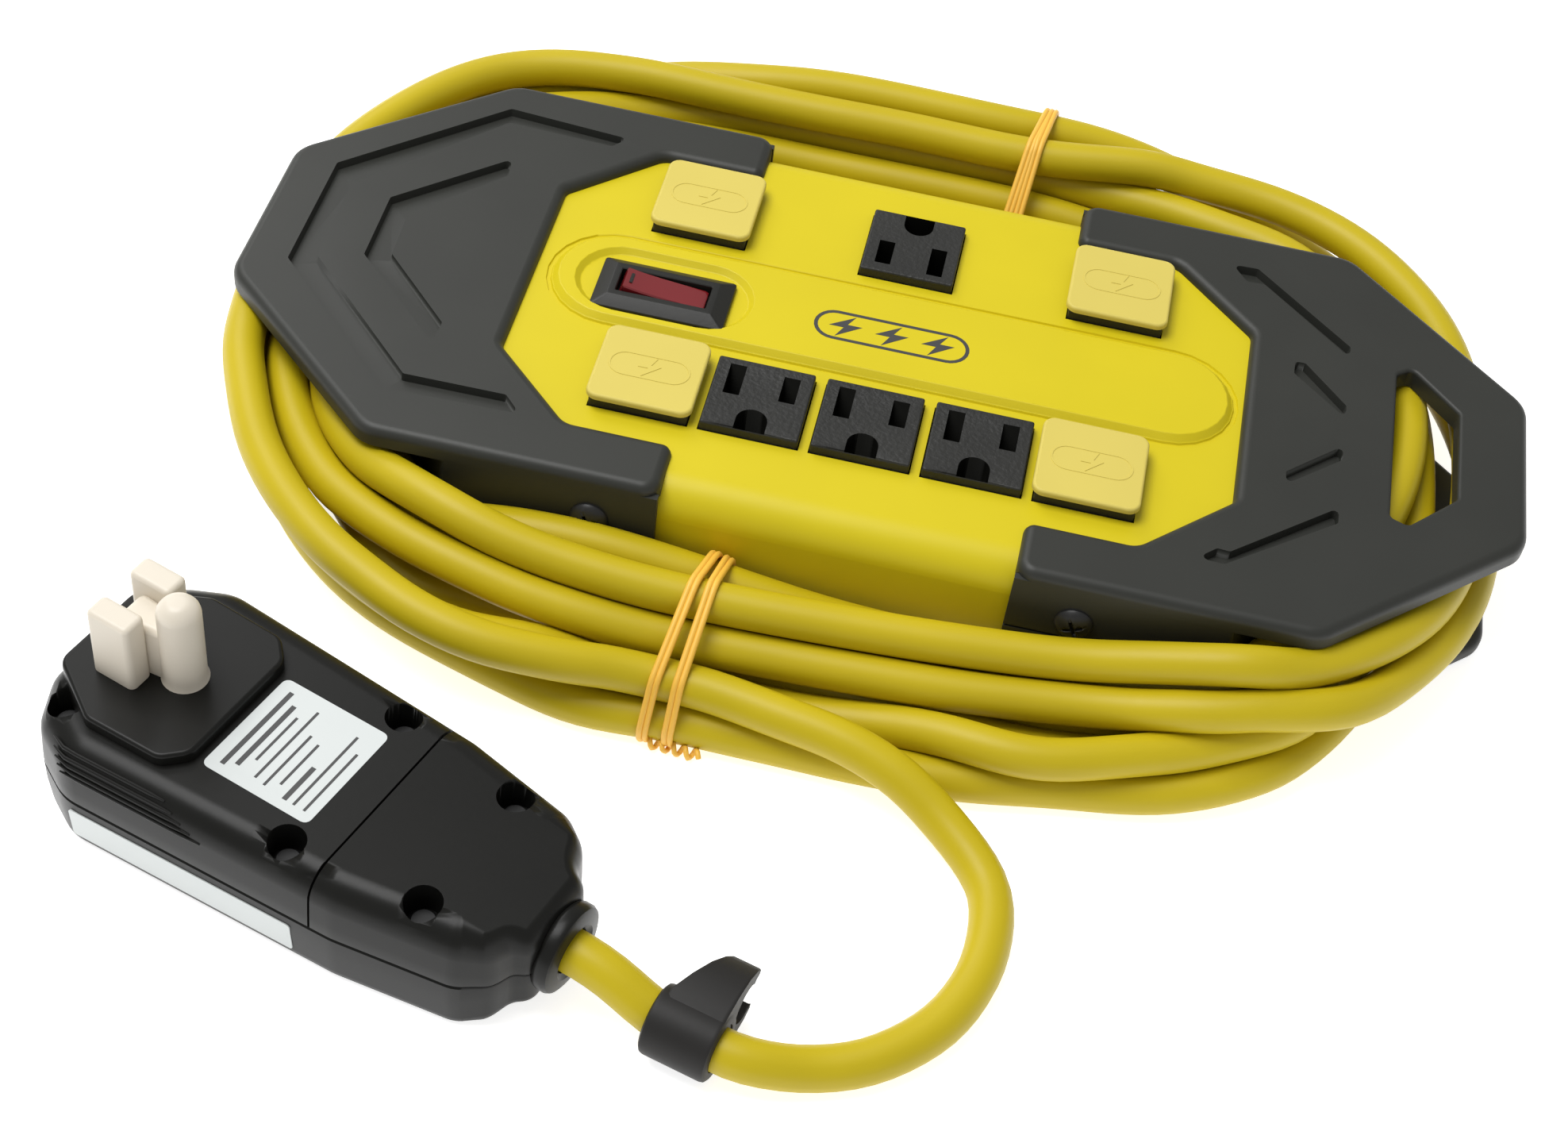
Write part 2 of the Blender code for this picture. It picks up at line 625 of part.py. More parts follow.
def plug():
    lower_levels = ((2.2, 0.0), (0.8, 1.6), (0.4, 7.0), (0.0, PLUG_SEAM))
    lower = plug_loft("plug_lower_shell", body_outline, lower_levels, PLUG_BLACK)
    bm = bmesh.new()
    loft(bm, [[(u, v, z) for u, v in upper_outline(4.5)] for z in (6.6, 18.0)])
    plug_cut(lower, bm, "plug_lower_cavity")
    bm = bmesh.new()
    for u in (-58.0, -42.0):
        box(bm, u - 5.5, u + 5.5, -4.0, 4.0, -1.0, 5.0)
    plug_cut(lower, bm, "plug_button_pockets")

    upper = plug_loft("plug_upper_shell", upper_outline,
                      ((0.0, PLUG_SEAM + GAP), (0.4, 22.0), (2.4, 26.5), (6.0, PLUG_TOP)), PLUG_BLACK)
    pad = [(-91.0, 12.0), (-91.0, -11.5), (-78.0, -19.4), (-59.5, -19.0), (-55.0, -14.5), (-55.0, 14.5),
           (-59.5, 19.0), (-78.0, 19.4)]
    bm = bmesh.new()
    loft(bm, [[(u, v, z) for u, v in pad] for z in (24.0, PAD_TOP)])
    boolean(upper, place_plug(finish("plug_pad", bm)), "UNION")
    bm = bmesh.new()
    cavity = ((1.0, 10.0), (0.92, 26.6))
    loft(bm, [[(u * 0.97 - 1.6, v * share, z) for u, v in upper_outline(4.0)] for share, z in cavity])
    plug_cut(upper, bm, "plug_upper_cavity")
    bm = bmesh.new()
    for v in (-6.35, 6.35):
        box(bm, -82.9, -76.1, v - 1.0, v + 1.0, 20.0, 36.0)
    prism(bm, circle(-67.6, 0.0, 2.7, 16), 20.0, 36.0)
    plug_cut(upper, bm, "plug_blade_holes")
    bm = bmesh.new()
    for u, v in ((-85.0, -16.8), (-28.2, 17.2), (-28.2, -17.2)):
        prism(bm, circle(u, v, 3.0, 16), 27.4, 36.0)
    plug_cut(upper, bm, "plug_upper_screw_wells")

    cover = plug_loft("plug_terminal_cover", cover_outline,
                      ((0.0, PLUG_SEAM + GAP), (0.4, 22.0), (2.4, 26.5), (6.0, PLUG_TOP)), PLUG_BLACK)
    bm = bmesh.new()
    for u, v in ((1.6, 13.4), (1.6, -13.4)):
        prism(bm, circle(u, v, 2.8, 16), 27.0, 36.0)
    plug_cut(cover, bm, "plug_cover_screw_wells")

    brass = ((0.70, 0.55, 0.24), 0.25, 1.0)
    for name, v in (("blade_neutral", -6.35), ("blade_line", 6.35)):
        bm = bmesh.new()
        box(bm, -82.6, -76.4, v - 0.75, v + 0.75, 24.5, PAD_TOP + 16.0)
        place_plug(finish(name, bm, brass))
    bm = bmesh.new()
    pin = ((2.38, 24.5), (2.38, 50.6), (1.2, 53.0))
    loft(bm, [[(a, b, z) for a, b in circle(-67.6, 0.0, r, 16)] for r, z in pin])
    place_plug(finish("ground_pin", bm, brass, smooth=True))

    # Blade guard: two square stalls and a round sleeve joined by a web.
    low = PAD_TOP + GAP
    bm = bmesh.new()
    loft(bm, [[(a, b, z) for a, b in circle(-67.6, 0.0, r, 20)]
              for r, z in ((4.4, low), (4.4, low + 19.2), (3.9, low + 21.4), (2.4, low + 23.0))])
    guard = place_plug(finish("blade_guard", bm, ((0.70, 0.62, 0.50), 0.45), smooth=True))
    bm = bmesh.new()
    for v in (-6.35, 6.35):
        box(bm, -84.6, -74.4, v - 3.0, v + 3.0, low, low + 18.3)
    tool = place_plug(finish("blade_guard_stalls", bm))
    boolean(guard, tool, "UNION")
    bm = bmesh.new()
    prism(bm, ((-79.0, -4.0), (-69.5, -2.6), (-69.5, 2.6), (-79.0, 4.0)), low, low + 15.0)
    tool = place_plug(finish("blade_guard_web", bm))
    boolean(guard, tool, "UNION")
    bm = bmesh.new()
    for v in (-6.35, 6.35):
        box(bm, -83.0, -76.0, v - 1.1, v + 1.1, 30.0, low + 17.0)
    prism(bm, circle(-67.6, 0.0, 2.75, 16), 30.0, low + 21.2)
    plug_cut(guard, bm, "blade_guard_bores")

    # Ring round the cord at the plug's neck.
    bm = bmesh.new()
    loops = []
    for u, r in ((25.7, 5.3), (25.7, 9.6), (26.8, 10.4), (28.2, 10.0), (31.6, 8.2), (31.6, 5.3)):
        loops.append([bm.verts.new((u, a, b)) for a, b in circle(0.0, CORD_AXIS_Z, r, 24)])
    for i in range(len(loops)):
        for j in range(24):
            k = (j + 1) % 24
            nxt = loops[(i + 1) % len(loops)]
            bm.faces.new((loops[i][j], loops[i][k], nxt[k], nxt[j]))
    place_plug(finish("plug_grommet", bm, PLUG_BLACK, smooth=True))

    buttons = (("test_button", -58.0, (0.03, 0.03, 0.03)), ("reset_button", -42.0, (0.45, 0.03, 0.02)))
    for name, u, colour in buttons:
        bm = bmesh.new()
        box(bm, -5.1, 5.1, -3.6, 3.6, -1.2, 1.2)
        item = finish(name, bm, (colour, 0.35))
        x, y, _ = plug_point(u, 0.0, 0.0)
        item.location = Vector((x, y, 1.9)) * MM
        item.rotation_euler = (0.0, 0.0, PLUG_YAW)

    bm = bmesh.new()
    box(bm, -78.0, -26.0, -17.0, 17.0, 8.0, 9.6)
    place_plug(finish("circuit_board", bm, ((0.05, 0.22, 0.08), 0.5)))
    bm = bmesh.new()
    loops = []
    for i in range(20):
        a = 2.0 * math.pi * i / 20
        ring = []
        for j in range(8):
            b = 2.0 * math.pi * j / 8
            r = 8.0 + 3.0 * math.cos(b)
            ring.append(bm.verts.new((-40.0 + r * math.cos(a), r * math.sin(a), 13.0 + 3.0 * math.sin(b))))
        loops.append(ring)
    for i in range(20):
        for j in range(8):
            k = (j + 1) % 8
            nxt = loops[(i + 1) % 20]
            bm.faces.new((loops[i][j], loops[i][k], nxt[k], nxt[j]))
    place_plug(finish("sensing_coil", bm, ((0.55, 0.27, 0.1), 0.4, 0.6), smooth=True))


def wires():
    looks = (("wire_line", (0.02, 0.02, 0.02), 4.0, 3.0), ("wire_neutral", (0.75, 0.75, 0.72), 0.0, -20.5),
             ("wire_ground", (0.03, 0.3, 0.06), -4.0, -36.0))
    for name, colour, y0, y1 in looks:
        middle = (y0 + y1) / 2.0
        route = [(-84.5, y0, GLAND_Z - 2.0), (-78.0, y0, 17.0), (-70.0, middle, 8.0), (-62.0, y1, 6.0),
                 (-50.0, y1, 6.0)]
        tube(name, smooth_path(route, 4.0), 1.3, (colour, 0.5), 1)


def build():
    clear_scene()
    housing()
    base_plate()
    end_cap("end_cap_left", -1)
    end_cap("end_cap_right", 1)
    lower_flange("lower_flange_left", -1)
    lower_flange("lower_flange_right", 1)
    for name, x, side in (("side_screw_front_left", -54.4, -1), ("side_screw_front_right", 54.4, -1),
                          ("side_screw_rear_left", -54.4, 1), ("side_screw_rear_right", 54.4, 1)):
        side_screw(name, x, side)
    for place in outlet_places():
        outlet(*place)
    edge = 2 * PITCH
    outlet_cap("outlet_cap_front_left", OUTLET_SHIFT - edge, ROW_FRONT_Y, 1)
    outlet_cap("outlet_cap_front_right", OUTLET_SHIFT + edge, ROW_FRONT_Y, 1)
    outlet_cap("outlet_cap_rear_left", OUTLET_SHIFT - edge, ROW_REAR_Y, -1)
    outlet_cap("outlet_cap_rear_right", OUTLET_SHIFT + edge, ROW_REAR_Y, -1)
    bus_bars()
    wires()
    switch()
    cord_gland()
    cord_coil()
    cord_tail()
    cord_clip()
    rubber = ((0.85, 0.45, 0.12), 0.6)
    band("band_front", ((-24, -67.6), (-26, -104), 2.6, 24), rubber)
    band("band_rear", ((24, 67.6), (25, 101), 2.6, 31), rubber)
    plug()


build()
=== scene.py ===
"""Looks of the eight-outlet safety strip: wound cord, moulded ends, outlets, switch and plug.

Lengths are written in millimetres and scaled to metres when a mesh or curve is made.
"""

import math
import random

import bmesh
import bpy
import numpy as np
from mathutils import Euler, Matrix, Vector


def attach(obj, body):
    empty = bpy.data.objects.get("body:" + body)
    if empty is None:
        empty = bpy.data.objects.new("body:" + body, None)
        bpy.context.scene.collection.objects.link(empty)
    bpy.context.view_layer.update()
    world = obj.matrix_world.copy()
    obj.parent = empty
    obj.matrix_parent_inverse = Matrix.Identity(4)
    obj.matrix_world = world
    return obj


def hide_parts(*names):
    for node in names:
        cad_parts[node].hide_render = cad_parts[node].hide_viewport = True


MM = 0.001
random.seed(7)
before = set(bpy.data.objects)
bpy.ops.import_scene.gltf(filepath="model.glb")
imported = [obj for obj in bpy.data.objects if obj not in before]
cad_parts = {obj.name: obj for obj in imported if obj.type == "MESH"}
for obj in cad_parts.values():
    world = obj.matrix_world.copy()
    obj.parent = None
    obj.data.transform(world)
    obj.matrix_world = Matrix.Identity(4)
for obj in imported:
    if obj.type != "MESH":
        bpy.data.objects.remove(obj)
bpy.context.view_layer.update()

# ---- driving dimensions, shared with the solids ----

HEIGHT = 38.0
HALF_LENGTH = 150.5
HALF_WIDTH = 64.3
CORNER_X = 106.5
CORNER_Y = 23.5
FLANGE = 5.0
CORE_X = 106.0
CORE_SIDE_X = 88.0
CORE_SLANT_Y = 42.0
ARM_END_X = 39.6
CORD_R = 4.75
PLUG_X = -55.3
PLUG_Y = -159.1
PLUG_YAW = math.radians(-19.5)
CORD_AXIS_Z = 14.15


# ---- small helpers ----

def link(item):
    bpy.context.scene.collection.objects.link(item)
    return item


def shade(mesh, angle=35.0):
    mesh.shade_smooth()
    mesh.set_sharp_from_angle(angle=math.radians(angle))


def solid(name, bm, mat, body="strip", stands_for=(), angle=35.0):
    """Piece of the object in metres, from a bmesh in millimetres, riding on one body."""
    bmesh.ops.recalc_face_normals(bm, faces=bm.faces)
    bmesh.ops.scale(bm, vec=(MM, MM, MM), verts=bm.verts)
    mesh = bpy.data.meshes.new(name)
    bm.to_mesh(mesh)
    bm.free()
    item = link(bpy.data.objects.new(name, mesh))
    mesh.materials.append(mat)
    shade(mesh, angle)
    weighted = item.modifiers.new("even shading", "WEIGHTED_NORMAL")
    weighted.keep_sharp = True
    if body:
        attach(item, body)
    if stands_for:
        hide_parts(*stands_for)
    return item


def carve(item, bm, operation="DIFFERENCE", angle=35.0, inside=None):
    """Cut a tool out of a piece, or weld it on; the cut faces take the inside material if given."""
    tool = solid("tool", bm, inside or item.data.materials[0], body=None)
    cut = item.modifiers.new("carve", "BOOLEAN")
    cut.operation = operation
    cut.solver = "EXACT"
    cut.material_mode = "TRANSFER"
    cut.object = tool
    item.modifiers.move(len(item.modifiers) - 1, 0)
    shading = item.modifiers["even shading"]
    shading.show_viewport = False
    bpy.context.view_layer.update()
    mesh = bpy.data.meshes.new_from_object(item.evaluated_get(bpy.context.evaluated_depsgraph_get()))
    shading.show_viewport = True
    item.modifiers.remove(cut)
    item.data = mesh
    shade(mesh, angle)
    bpy.data.objects.remove(tool, do_unlink=True)
    return item


def loft(bm, rings, closed=False):
    """Skin through rings of equal point count; closed joins the last ring to the first."""
    loops = [[bm.verts.new(p) for p in ring] for ring in rings]
    count = len(loops[0])
    pairs = list(zip(loops, loops[1:]))
    if closed:
        pairs.append((loops[-1], loops[0]))
    for low, high in pairs:
        for i in range(count):
            j = (i + 1) % count
            bm.faces.new((low[i], low[j], high[j], high[i]))
    if not closed:
        bm.faces.new(list(reversed(loops[0])))
        bm.faces.new(loops[-1])


def skin(rings, closed=False):
    """New mesh with one skin through the rings."""
    bm = bmesh.new()
    loft(bm, rings, closed)
    return bm


def flat(outline, z):
    return [(x, y, z) for x, y in outline]


def box(bm, x0, x1, y0, y1, z0, z1):
    corners = ((x0, y0), (x1, y0), (x1, y1), (x0, y1))
    loft(bm, [flat(corners, z) for z in (z0, z1)])


def circle(cx, cy, r, count=32):
    step = 2.0 * math.pi / count
    return [(cx + r * math.cos(i * step), cy + r * math.sin(i * step)) for i in range(count)]


def polar(cx, cy, r, degrees):
    a = math.radians(degrees)
    return (cx + r * math.cos(a), cy + r * math.sin(a))


def rectangle(cx, cy, half_x, half_y):
    return [(cx - half_x, cy - half_y), (cx + half_x, cy - half_y), (cx + half_x, cy + half_y),
            (cx - half_x, cy + half_y)]


def bolt_outline(cx, cy, half_x, half_y):
    """Six-cornered lightning bolt, the generic mark of the panel and the covers."""
    corners = ((-1.0, -0.1), (-0.1, -0.1), (-0.5, -1.0), (1.0, 0.2), (0.1, 0.2), (0.5, 1.0))
    return [(cx + a * half_x, cy + b * half_y) for a, b in corners]


def fillet(corners, radii, steps=5):
    """Outline with its corners rounded; radii is one value or a list of one per corner."""
    points = [Vector(p) for p in corners]
    count = len(points)
    if not isinstance(radii, (list, tuple)):
        radii = [radii] * count
    outline = []
    for i, here in enumerate(points):
        to_last = (points[i - 1] - here).normalized()
        to_next = (points[(i + 1) % count] - here).normalized()
        half = to_last.angle(to_next) / 2.0
        centre = here + (to_last + to_next).normalized() * (radii[i] / math.sin(half))
        start = here + to_last * (radii[i] / math.tan(half)) - centre
        end = here + to_next * (radii[i] / math.tan(half)) - centre
        a = math.atan2(start.y, start.x)
        turn = (math.atan2(end.y, end.x) - a + math.pi) % (2.0 * math.pi) - math.pi
        for k in range(steps + 1):
            b = a + turn * k / steps
            outline.append((centre.x + radii[i] * math.cos(b), centre.y + radii[i] * math.sin(b)))
    return outline


def drawn_in(outline, inset):
    """Outline moved inward by inset at every corner; it runs anticlockwise."""
    points = [Vector(p) for p in outline]
    moved = []
    for last, here, after in zip(points[-1:] + points[:-1], points, points[1:] + points[:1]):
        a = (here - last).normalized()
        b = (after - here).normalized()
        inward = Vector((-a.y - b.y, a.x + b.x)) / (1.0 + a.dot(b))
        moved.append(tuple(here + inward * inset))
    return moved


def level(outline, inset, z):
    return flat(drawn_in(outline, inset), z)


def soft_block(outline, z0, z1, top=1.0, bottom=0.0, steps=4):
    """Rings of a block on an outline, with its top and bottom edges rounded."""
    rings = []
    if bottom > 0.0:
        for i in range(steps):
            a = math.radians(90.0 * i / steps)
            rings.append(level(outline, bottom * (1.0 - math.sin(a)), z0 + bottom * (1.0 - math.cos(a))))
    rings.append(level(outline, 0.0, z0 + bottom))
    rings.append(level(outline, 0.0, z1 - top))
    for i in range(1, steps + 1):
        a = math.radians(90.0 * i / steps)
        rings.append(level(outline, top * (1.0 - math.cos(a)), z1 - top + top * math.sin(a)))
    return rings


def mirror(points, side):
    """Outline on the right for +1, or its mirror image on the left for -1, anticlockwise."""
    if side > 0:
        return list(points)
    return [(-x, y) for x, y in reversed(points)]


def sided(radii, side):
    """Corner radii in the order that mirror gives the corners."""
    return list(radii) if side > 0 else list(reversed(radii))


def stadium(x0, x1, yc, half, steps=12):
    points = []
    for cx, a0 in ((x1 - half, -90), (x0 + half, 90)):
        points += [polar(cx, yc, half, a0 + 180.0 * i / steps) for i in range(steps + 1)]
    return points


def tube(name, points, radius, mat, roundness=3, cyclic=False):
    """Round curve through points in millimetres; roundness is its bevel resolution."""
    curve = bpy.data.curves.new(name, "CURVE")
    curve.dimensions = "3D"
    curve.bevel_depth = radius * MM
    curve.bevel_resolution = roundness
    curve.use_fill_caps = not cyclic
    spline = curve.splines.new("POLY")
    spline.points.add(len(points) - 1)
    for point, co in zip(spline.points, points):
        point.co = (co[0] * MM, co[1] * MM, co[2] * MM, 1.0)
    spline.use_cyclic_u = cyclic
    spline.use_smooth = True
    curve.materials.append(mat)
    return link(bpy.data.objects.new(name, curve))


# ---- materials ----

def base_material(name, colour, roughness, metallic=0.0):
    mat = bpy.data.materials.new(name)
    mat.use_nodes = True
    shader = mat.node_tree.nodes["Principled BSDF"]
    shader.inputs["Base Color"].default_value = (*colour, 1.0)
    shader.inputs["Roughness"].default_value = roughness
    shader.inputs["Metallic"].default_value = metallic
    mat.diffuse_color = (*colour, 1.0)
    return mat, shader


def textured(name, colour, roughness, grain=900.0, bump=0.1, depth=0.00005, tone=0.05, metallic=0.0,
             shine=0.5):
    """Material with a fine grain in its relief and roughness and a faint change of tone."""
    mat, shader = base_material(name, colour, roughness, metallic)
    nodes = mat.node_tree.nodes
    links = mat.node_tree.links
    shader.inputs["Specular IOR Level"].default_value = shine
    place = nodes.new("ShaderNodeTexCoord")
    noise = nodes.new("ShaderNodeTexNoise")
    noise.inputs["Scale"].default_value = grain
    noise.inputs["Detail"].default_value = 3.0
    links.new(place.outputs["Object"], noise.inputs["Vector"])
    wide = nodes.new("ShaderNodeTexNoise")
    wide.inputs["Scale"].default_value = 35.0
    links.new(place.outputs["Object"], wide.inputs["Vector"])
    ramp = nodes.new("ShaderNodeValToRGB")
    ramp.color_ramp.elements[0].position = 0.3
    ramp.color_ramp.elements[1].position = 0.7
    ramp.color_ramp.elements[0].color = (*[c * (1.0 - tone) for c in colour], 1.0)
    ramp.color_ramp.elements[1].color = (*[min(1.0, c * (1.0 + tone)) for c in colour], 1.0)
    links.new(wide.outputs["Fac"], ramp.inputs["Fac"])
    links.new(ramp.outputs["Color"], shader.inputs["Base Color"])
    rough = nodes.new("ShaderNodeMapRange")
    spread = 0.04
    rough.inputs["To Min"].default_value = roughness - spread
    rough.inputs["To Max"].default_value = roughness + spread
    links.new(noise.outputs["Fac"], rough.inputs["Value"])
    links.new(rough.outputs["Result"], shader.inputs["Roughness"])
    relief = nodes.new("ShaderNodeBump")
    relief.inputs["Strength"].default_value = bump
    relief.inputs["Distance"].default_value = depth
    links.new(noise.outputs["Fac"], relief.inputs["Height"])
    links.new(relief.outputs["Normal"], shader.inputs["Normal"])
    return mat


YELLOW = textured("yellow powder coat", (0.60, 0.49, 0.006), 0.45, bump=0.06, tone=0.02, shine=0.3)
BLACK = textured("black moulding", (0.025, 0.026, 0.022), 0.46, grain=1500.0,
                 bump=0.12, tone=0.06, shine=0.35)
CORD = textured("cord jacket", (0.50, 0.385, 0.006), 0.45, grain=500.0, bump=0.04, tone=0.04, shine=0.3)
PLUG = textured("plug black", (0.008, 0.008, 0.007), 0.33, grain=1600.0, bump=0.05, shine=0.18)
PALE = textured("cover yellow", (0.61, 0.50, 0.105), 0.5, grain=1300.0, bump=0.08, tone=0.02, shine=0.3)
INSERT = textured("outlet face", (0.017, 0.017, 0.015), 0.5, bump=1.0, depth=0.00025, tone=0.2, shine=0.35)
# Near-black, dull walls for the outlet slots and ground openings: painted shade inside the openings.
SLOT_SHADE = textured("painted slot shade", (0.005, 0.005, 0.004), 0.7, grain=600.0, bump=0.05, shine=0.05)
SWITCH = textured("switch surround", (0.012, 0.012, 0.010), 0.42, grain=1200.0, bump=0.3, shine=0.3)
SCREW = textured("black screw", (0.02, 0.02, 0.02), 0.4, metallic=0.3)
BRASS = textured("brass", (0.66, 0.48, 0.18), 0.3, grain=700.0, bump=0.05, metallic=1.0)
RUBBER = textured("rubber band", (0.84, 0.48, 0.06), 0.45, grain=800.0, bump=0.15)
CLIP_BLACK = textured("clip", (0.018, 0.017, 0.016), 0.5, shine=0.2)
IVORY = textured("ivory guard", (0.66, 0.60, 0.50), 0.42, bump=0.05, tone=0.02)
LABEL = textured("blank label", (0.58, 0.61, 0.60), 0.4, grain=700.0, bump=0.02, tone=0.01)
INK = textured("label rule", (0.04, 0.04, 0.04), 0.5, grain=700.0, bump=0.02, tone=0.01)
RED = textured("red button", (0.45, 0.03, 0.02), 0.35, bump=0.05)
BOARD = textured("circuit board", (0.05, 0.22, 0.08), 0.5, grain=700.0)
COPPER = textured("copper winding", (0.55, 0.27, 0.1), 0.4, bump=0.3, metallic=0.6)
WIRE_BLACK = textured("black wire", (0.02, 0.02, 0.02), 0.45, grain=700.0)
WIRE_WHITE = textured("white wire", (0.75, 0.75, 0.72), 0.45, grain=700.0)
WIRE_GREEN = textured("green wire", (0.03, 0.30, 0.06), 0.45, grain=700.0)


def lens_material():
    """Dark red plastic with a clear coat, which lets a little light through."""
    mat = textured("rocker lens", (0.22, 0.012, 0.016), 0.16, grain=500.0, bump=0.02, tone=0.1)
    shader = mat.node_tree.nodes["Principled BSDF"]
    shader.inputs["Transmission Weight"].default_value = 0.25
    shader.inputs["Coat Weight"].default_value = 0.4
    return mat


LENS = lens_material()


# ---- camera, light and floor ----

CAMERA_PLACE = (23.35, -441.38, 434.16)
CAMERA_TURN = (42.256, -5.802, 11.397)
CAMERA_LENS = 58.29


def make_camera():
    data = bpy.data.cameras.new("camera")
    data.sensor_width = 36.0
    data.lens = CAMERA_LENS
    data.clip_start = 0.01
    data.clip_end = 20.0
    cam = link(bpy.data.objects.new("camera", data))
    cam.location = Vector(CAMERA_PLACE) * MM
    cam.rotation_euler = Euler([math.radians(a) for a in CAMERA_TURN], "XYZ")
    bpy.context.scene.camera = cam


def area_light(name, place, size, power, aim=(0.0, -0.03, 0.0)):
    data = bpy.data.lights.new(name, "AREA")
    data.shape = "RECTANGLE"
    data.size = size[0]
    data.size_y = size[1]
    data.energy = power
    lamp = link(bpy.data.objects.new(name, data))
    lamp.location = place
    lamp.rotation_mode = "QUATERNION"
    lamp.rotation_quaternion = (Vector(aim) - Vector(place)).to_track_quat("-Z", "Y")


def make_studio():
    mat, shader = base_material("floor white", (0.80, 0.80, 0.80), 0.9)
    shader.inputs["Emission Color"].default_value = (1.0, 1.0, 1.0, 1.0)
    shader.inputs["Emission Strength"].default_value = 0.75
    floor = link(bpy.data.objects.new("floor", bpy.data.meshes.new("floor")))
    half = 3.0
    floor.data.from_pydata([(-half, -half, 0), (half, -half, 0), (half, half, 0), (-half, half, 0)], [],
                           [(0, 1, 2, 3)])
    floor.data.materials.append(mat)
    gap = 0.0002
    floor.location = (0.0, 0.0, -gap)
    world = bpy.data.worlds.new("studio")
    bpy.context.scene.world = world
    world.use_nodes = True
    back = world.node_tree.nodes["Background"]
    back.inputs["Color"].default_value = (1.0, 1.0, 1.0, 1.0)
    back.inputs["Strength"].default_value = 0.46
    area_light("top light", (-0.5, -0.05, 1.4), (0.9, 0.8), 18.5)
    area_light("back left light", (-0.9, 0.9, 1.0), (0.8, 0.8), 6.0)
    bpy.context.scene.view_settings.view_transform = "Standard"


# ---- cord ----

# One list a turn, seen from above against the clock, from the left end round to the left end.
FIRST_TURN = (
    (-109.8, 0, 19.85), (-115, -0.6, 19.9), (-119, -5, 20), (-119.8, -13, 20), (-116.5, -26, 19.6),
    (-110.5, -40, 19.2), (-102.5, -54.5, 19.4), (-93, -65.5, 20.5), (-82, -69.4, 22), (-66, -69.5, 23),
    (-50, -69.4, 22.5), (-28, -69.3, 19.6), (0, -69.3, 15.2), (25, -69.3, 13.6), (50, -69.3, 13.5),
    (70, -69.4, 14.5), (86, -69.4, 18), (99, -58.9, 22), (108, -44, 25), (116, -26, 27.5), (122, -8, 28),
    (124.5, 10, 28), (123.5, 30, 28), (117, 46, 27.8), (107.5, 58.5, 27), (95, 70, 26.3), (80, 78.5, 25),
    (60, 87, 22.3), (40, 92, 20), (20, 93.8, 19.2), (-5, 94, 19), (-30, 93.8, 19), (-55, 92.5, 19.3),
    (-78, 88.5, 20), (-98, 78.5, 21.5), (-113.7, 66.7, 22.5), (-126, 48, 22.5), (-133.5, 26, 22.5),
    (-136.5, 4, 22.5),
)
SECOND_TURN = (
    (-137.6, -15, 22), (-136, -33.7, 21), (-127, -50, 21), (-116.6, -62.6, 21), (-106.9, -69.9, 21),
    (-95, -76.5, 21), (-83.8, -80.5, 21), (-70.9, -83.6, 20.5), (-58.7, -84.6, 19.2), (-43.6, -85.5, 17.2),
    (-28.7, -84.3, 15.1), (0.5, -83.1, 15.2), (28.3, -82.2, 15.2), (46.6, -80.4, 15.5), (77.6, -76.8, 17.5),
    (100.6, -71.9, 19), (116.1, -64.8, 19), (130.8, -49, 18), (140.5, -31, 17), (144.8, -13, 16.3),
    (146, 7, 15.5), (144, 27, 14.5), (137.5, 47, 13.7), (128, 63.5, 13.5), (116, 77.5, 13.5),
    (102, 88.5, 14), (87, 96.5, 15.5), (70, 102.5, 19), (52, 105, 23), (36, 104.4, 26), (20, 102.6, 27.4),
    (0, 102.2, 28), (-30, 101.8, 28), (-50, 99.2, 27), (-67, 97.5, 24.2), (-85, 93, 20.5), (-103, 84.8, 19),
    (-121, 72.7, 18.8), (-134.5, 54, 18.5), (-142.5, 30, 18.3), (-145.5, 6, 18.2),
)
THIRD_TURN = (
    (-145.6, -14, 18), (-142.5, -33, 18), (-135, -51, 18), (-124, -67, 17.5), (-111, -80, 17),
    (-96, -88.8, 16), (-78, -95, 14.6), (-60, -97.4, 13.2), (-46, -94.5, 9.5), (-28, -89, 4.9),
    (-12, -89, 4.9), (2, -89.2, 5.2), (16, -90, 7.4), (30, -92, 10.8), (49.3, -95.8, 13.2),
    (71.7, -87.8, 13.2), (94.3, -75.4, 13), (108, -65, 13), (119, -50.5, 14.5), (126, -32, 16.5),
    (129, -12, 18.5), (129, 10, 19), (127.5, 30, 19), (122.5, 47, 18.6), (113.7, 66.7, 18),
    (100, 76.5, 15.5), (86, 83.5, 11.5), (70, 88.5, 7), (50, 90.5, 5), (20, 90.8, 5), (-10, 90.8, 5),
    (-40, 90.6, 5), (-62, 89.5, 6), (-82, 88, 9.3), (-101, 83, 9.8), (-120.3, 72, 9.8), (-133, 53, 9.8),
    (-141, 30, 9.8), (-143.8, 6, 9.8),
)
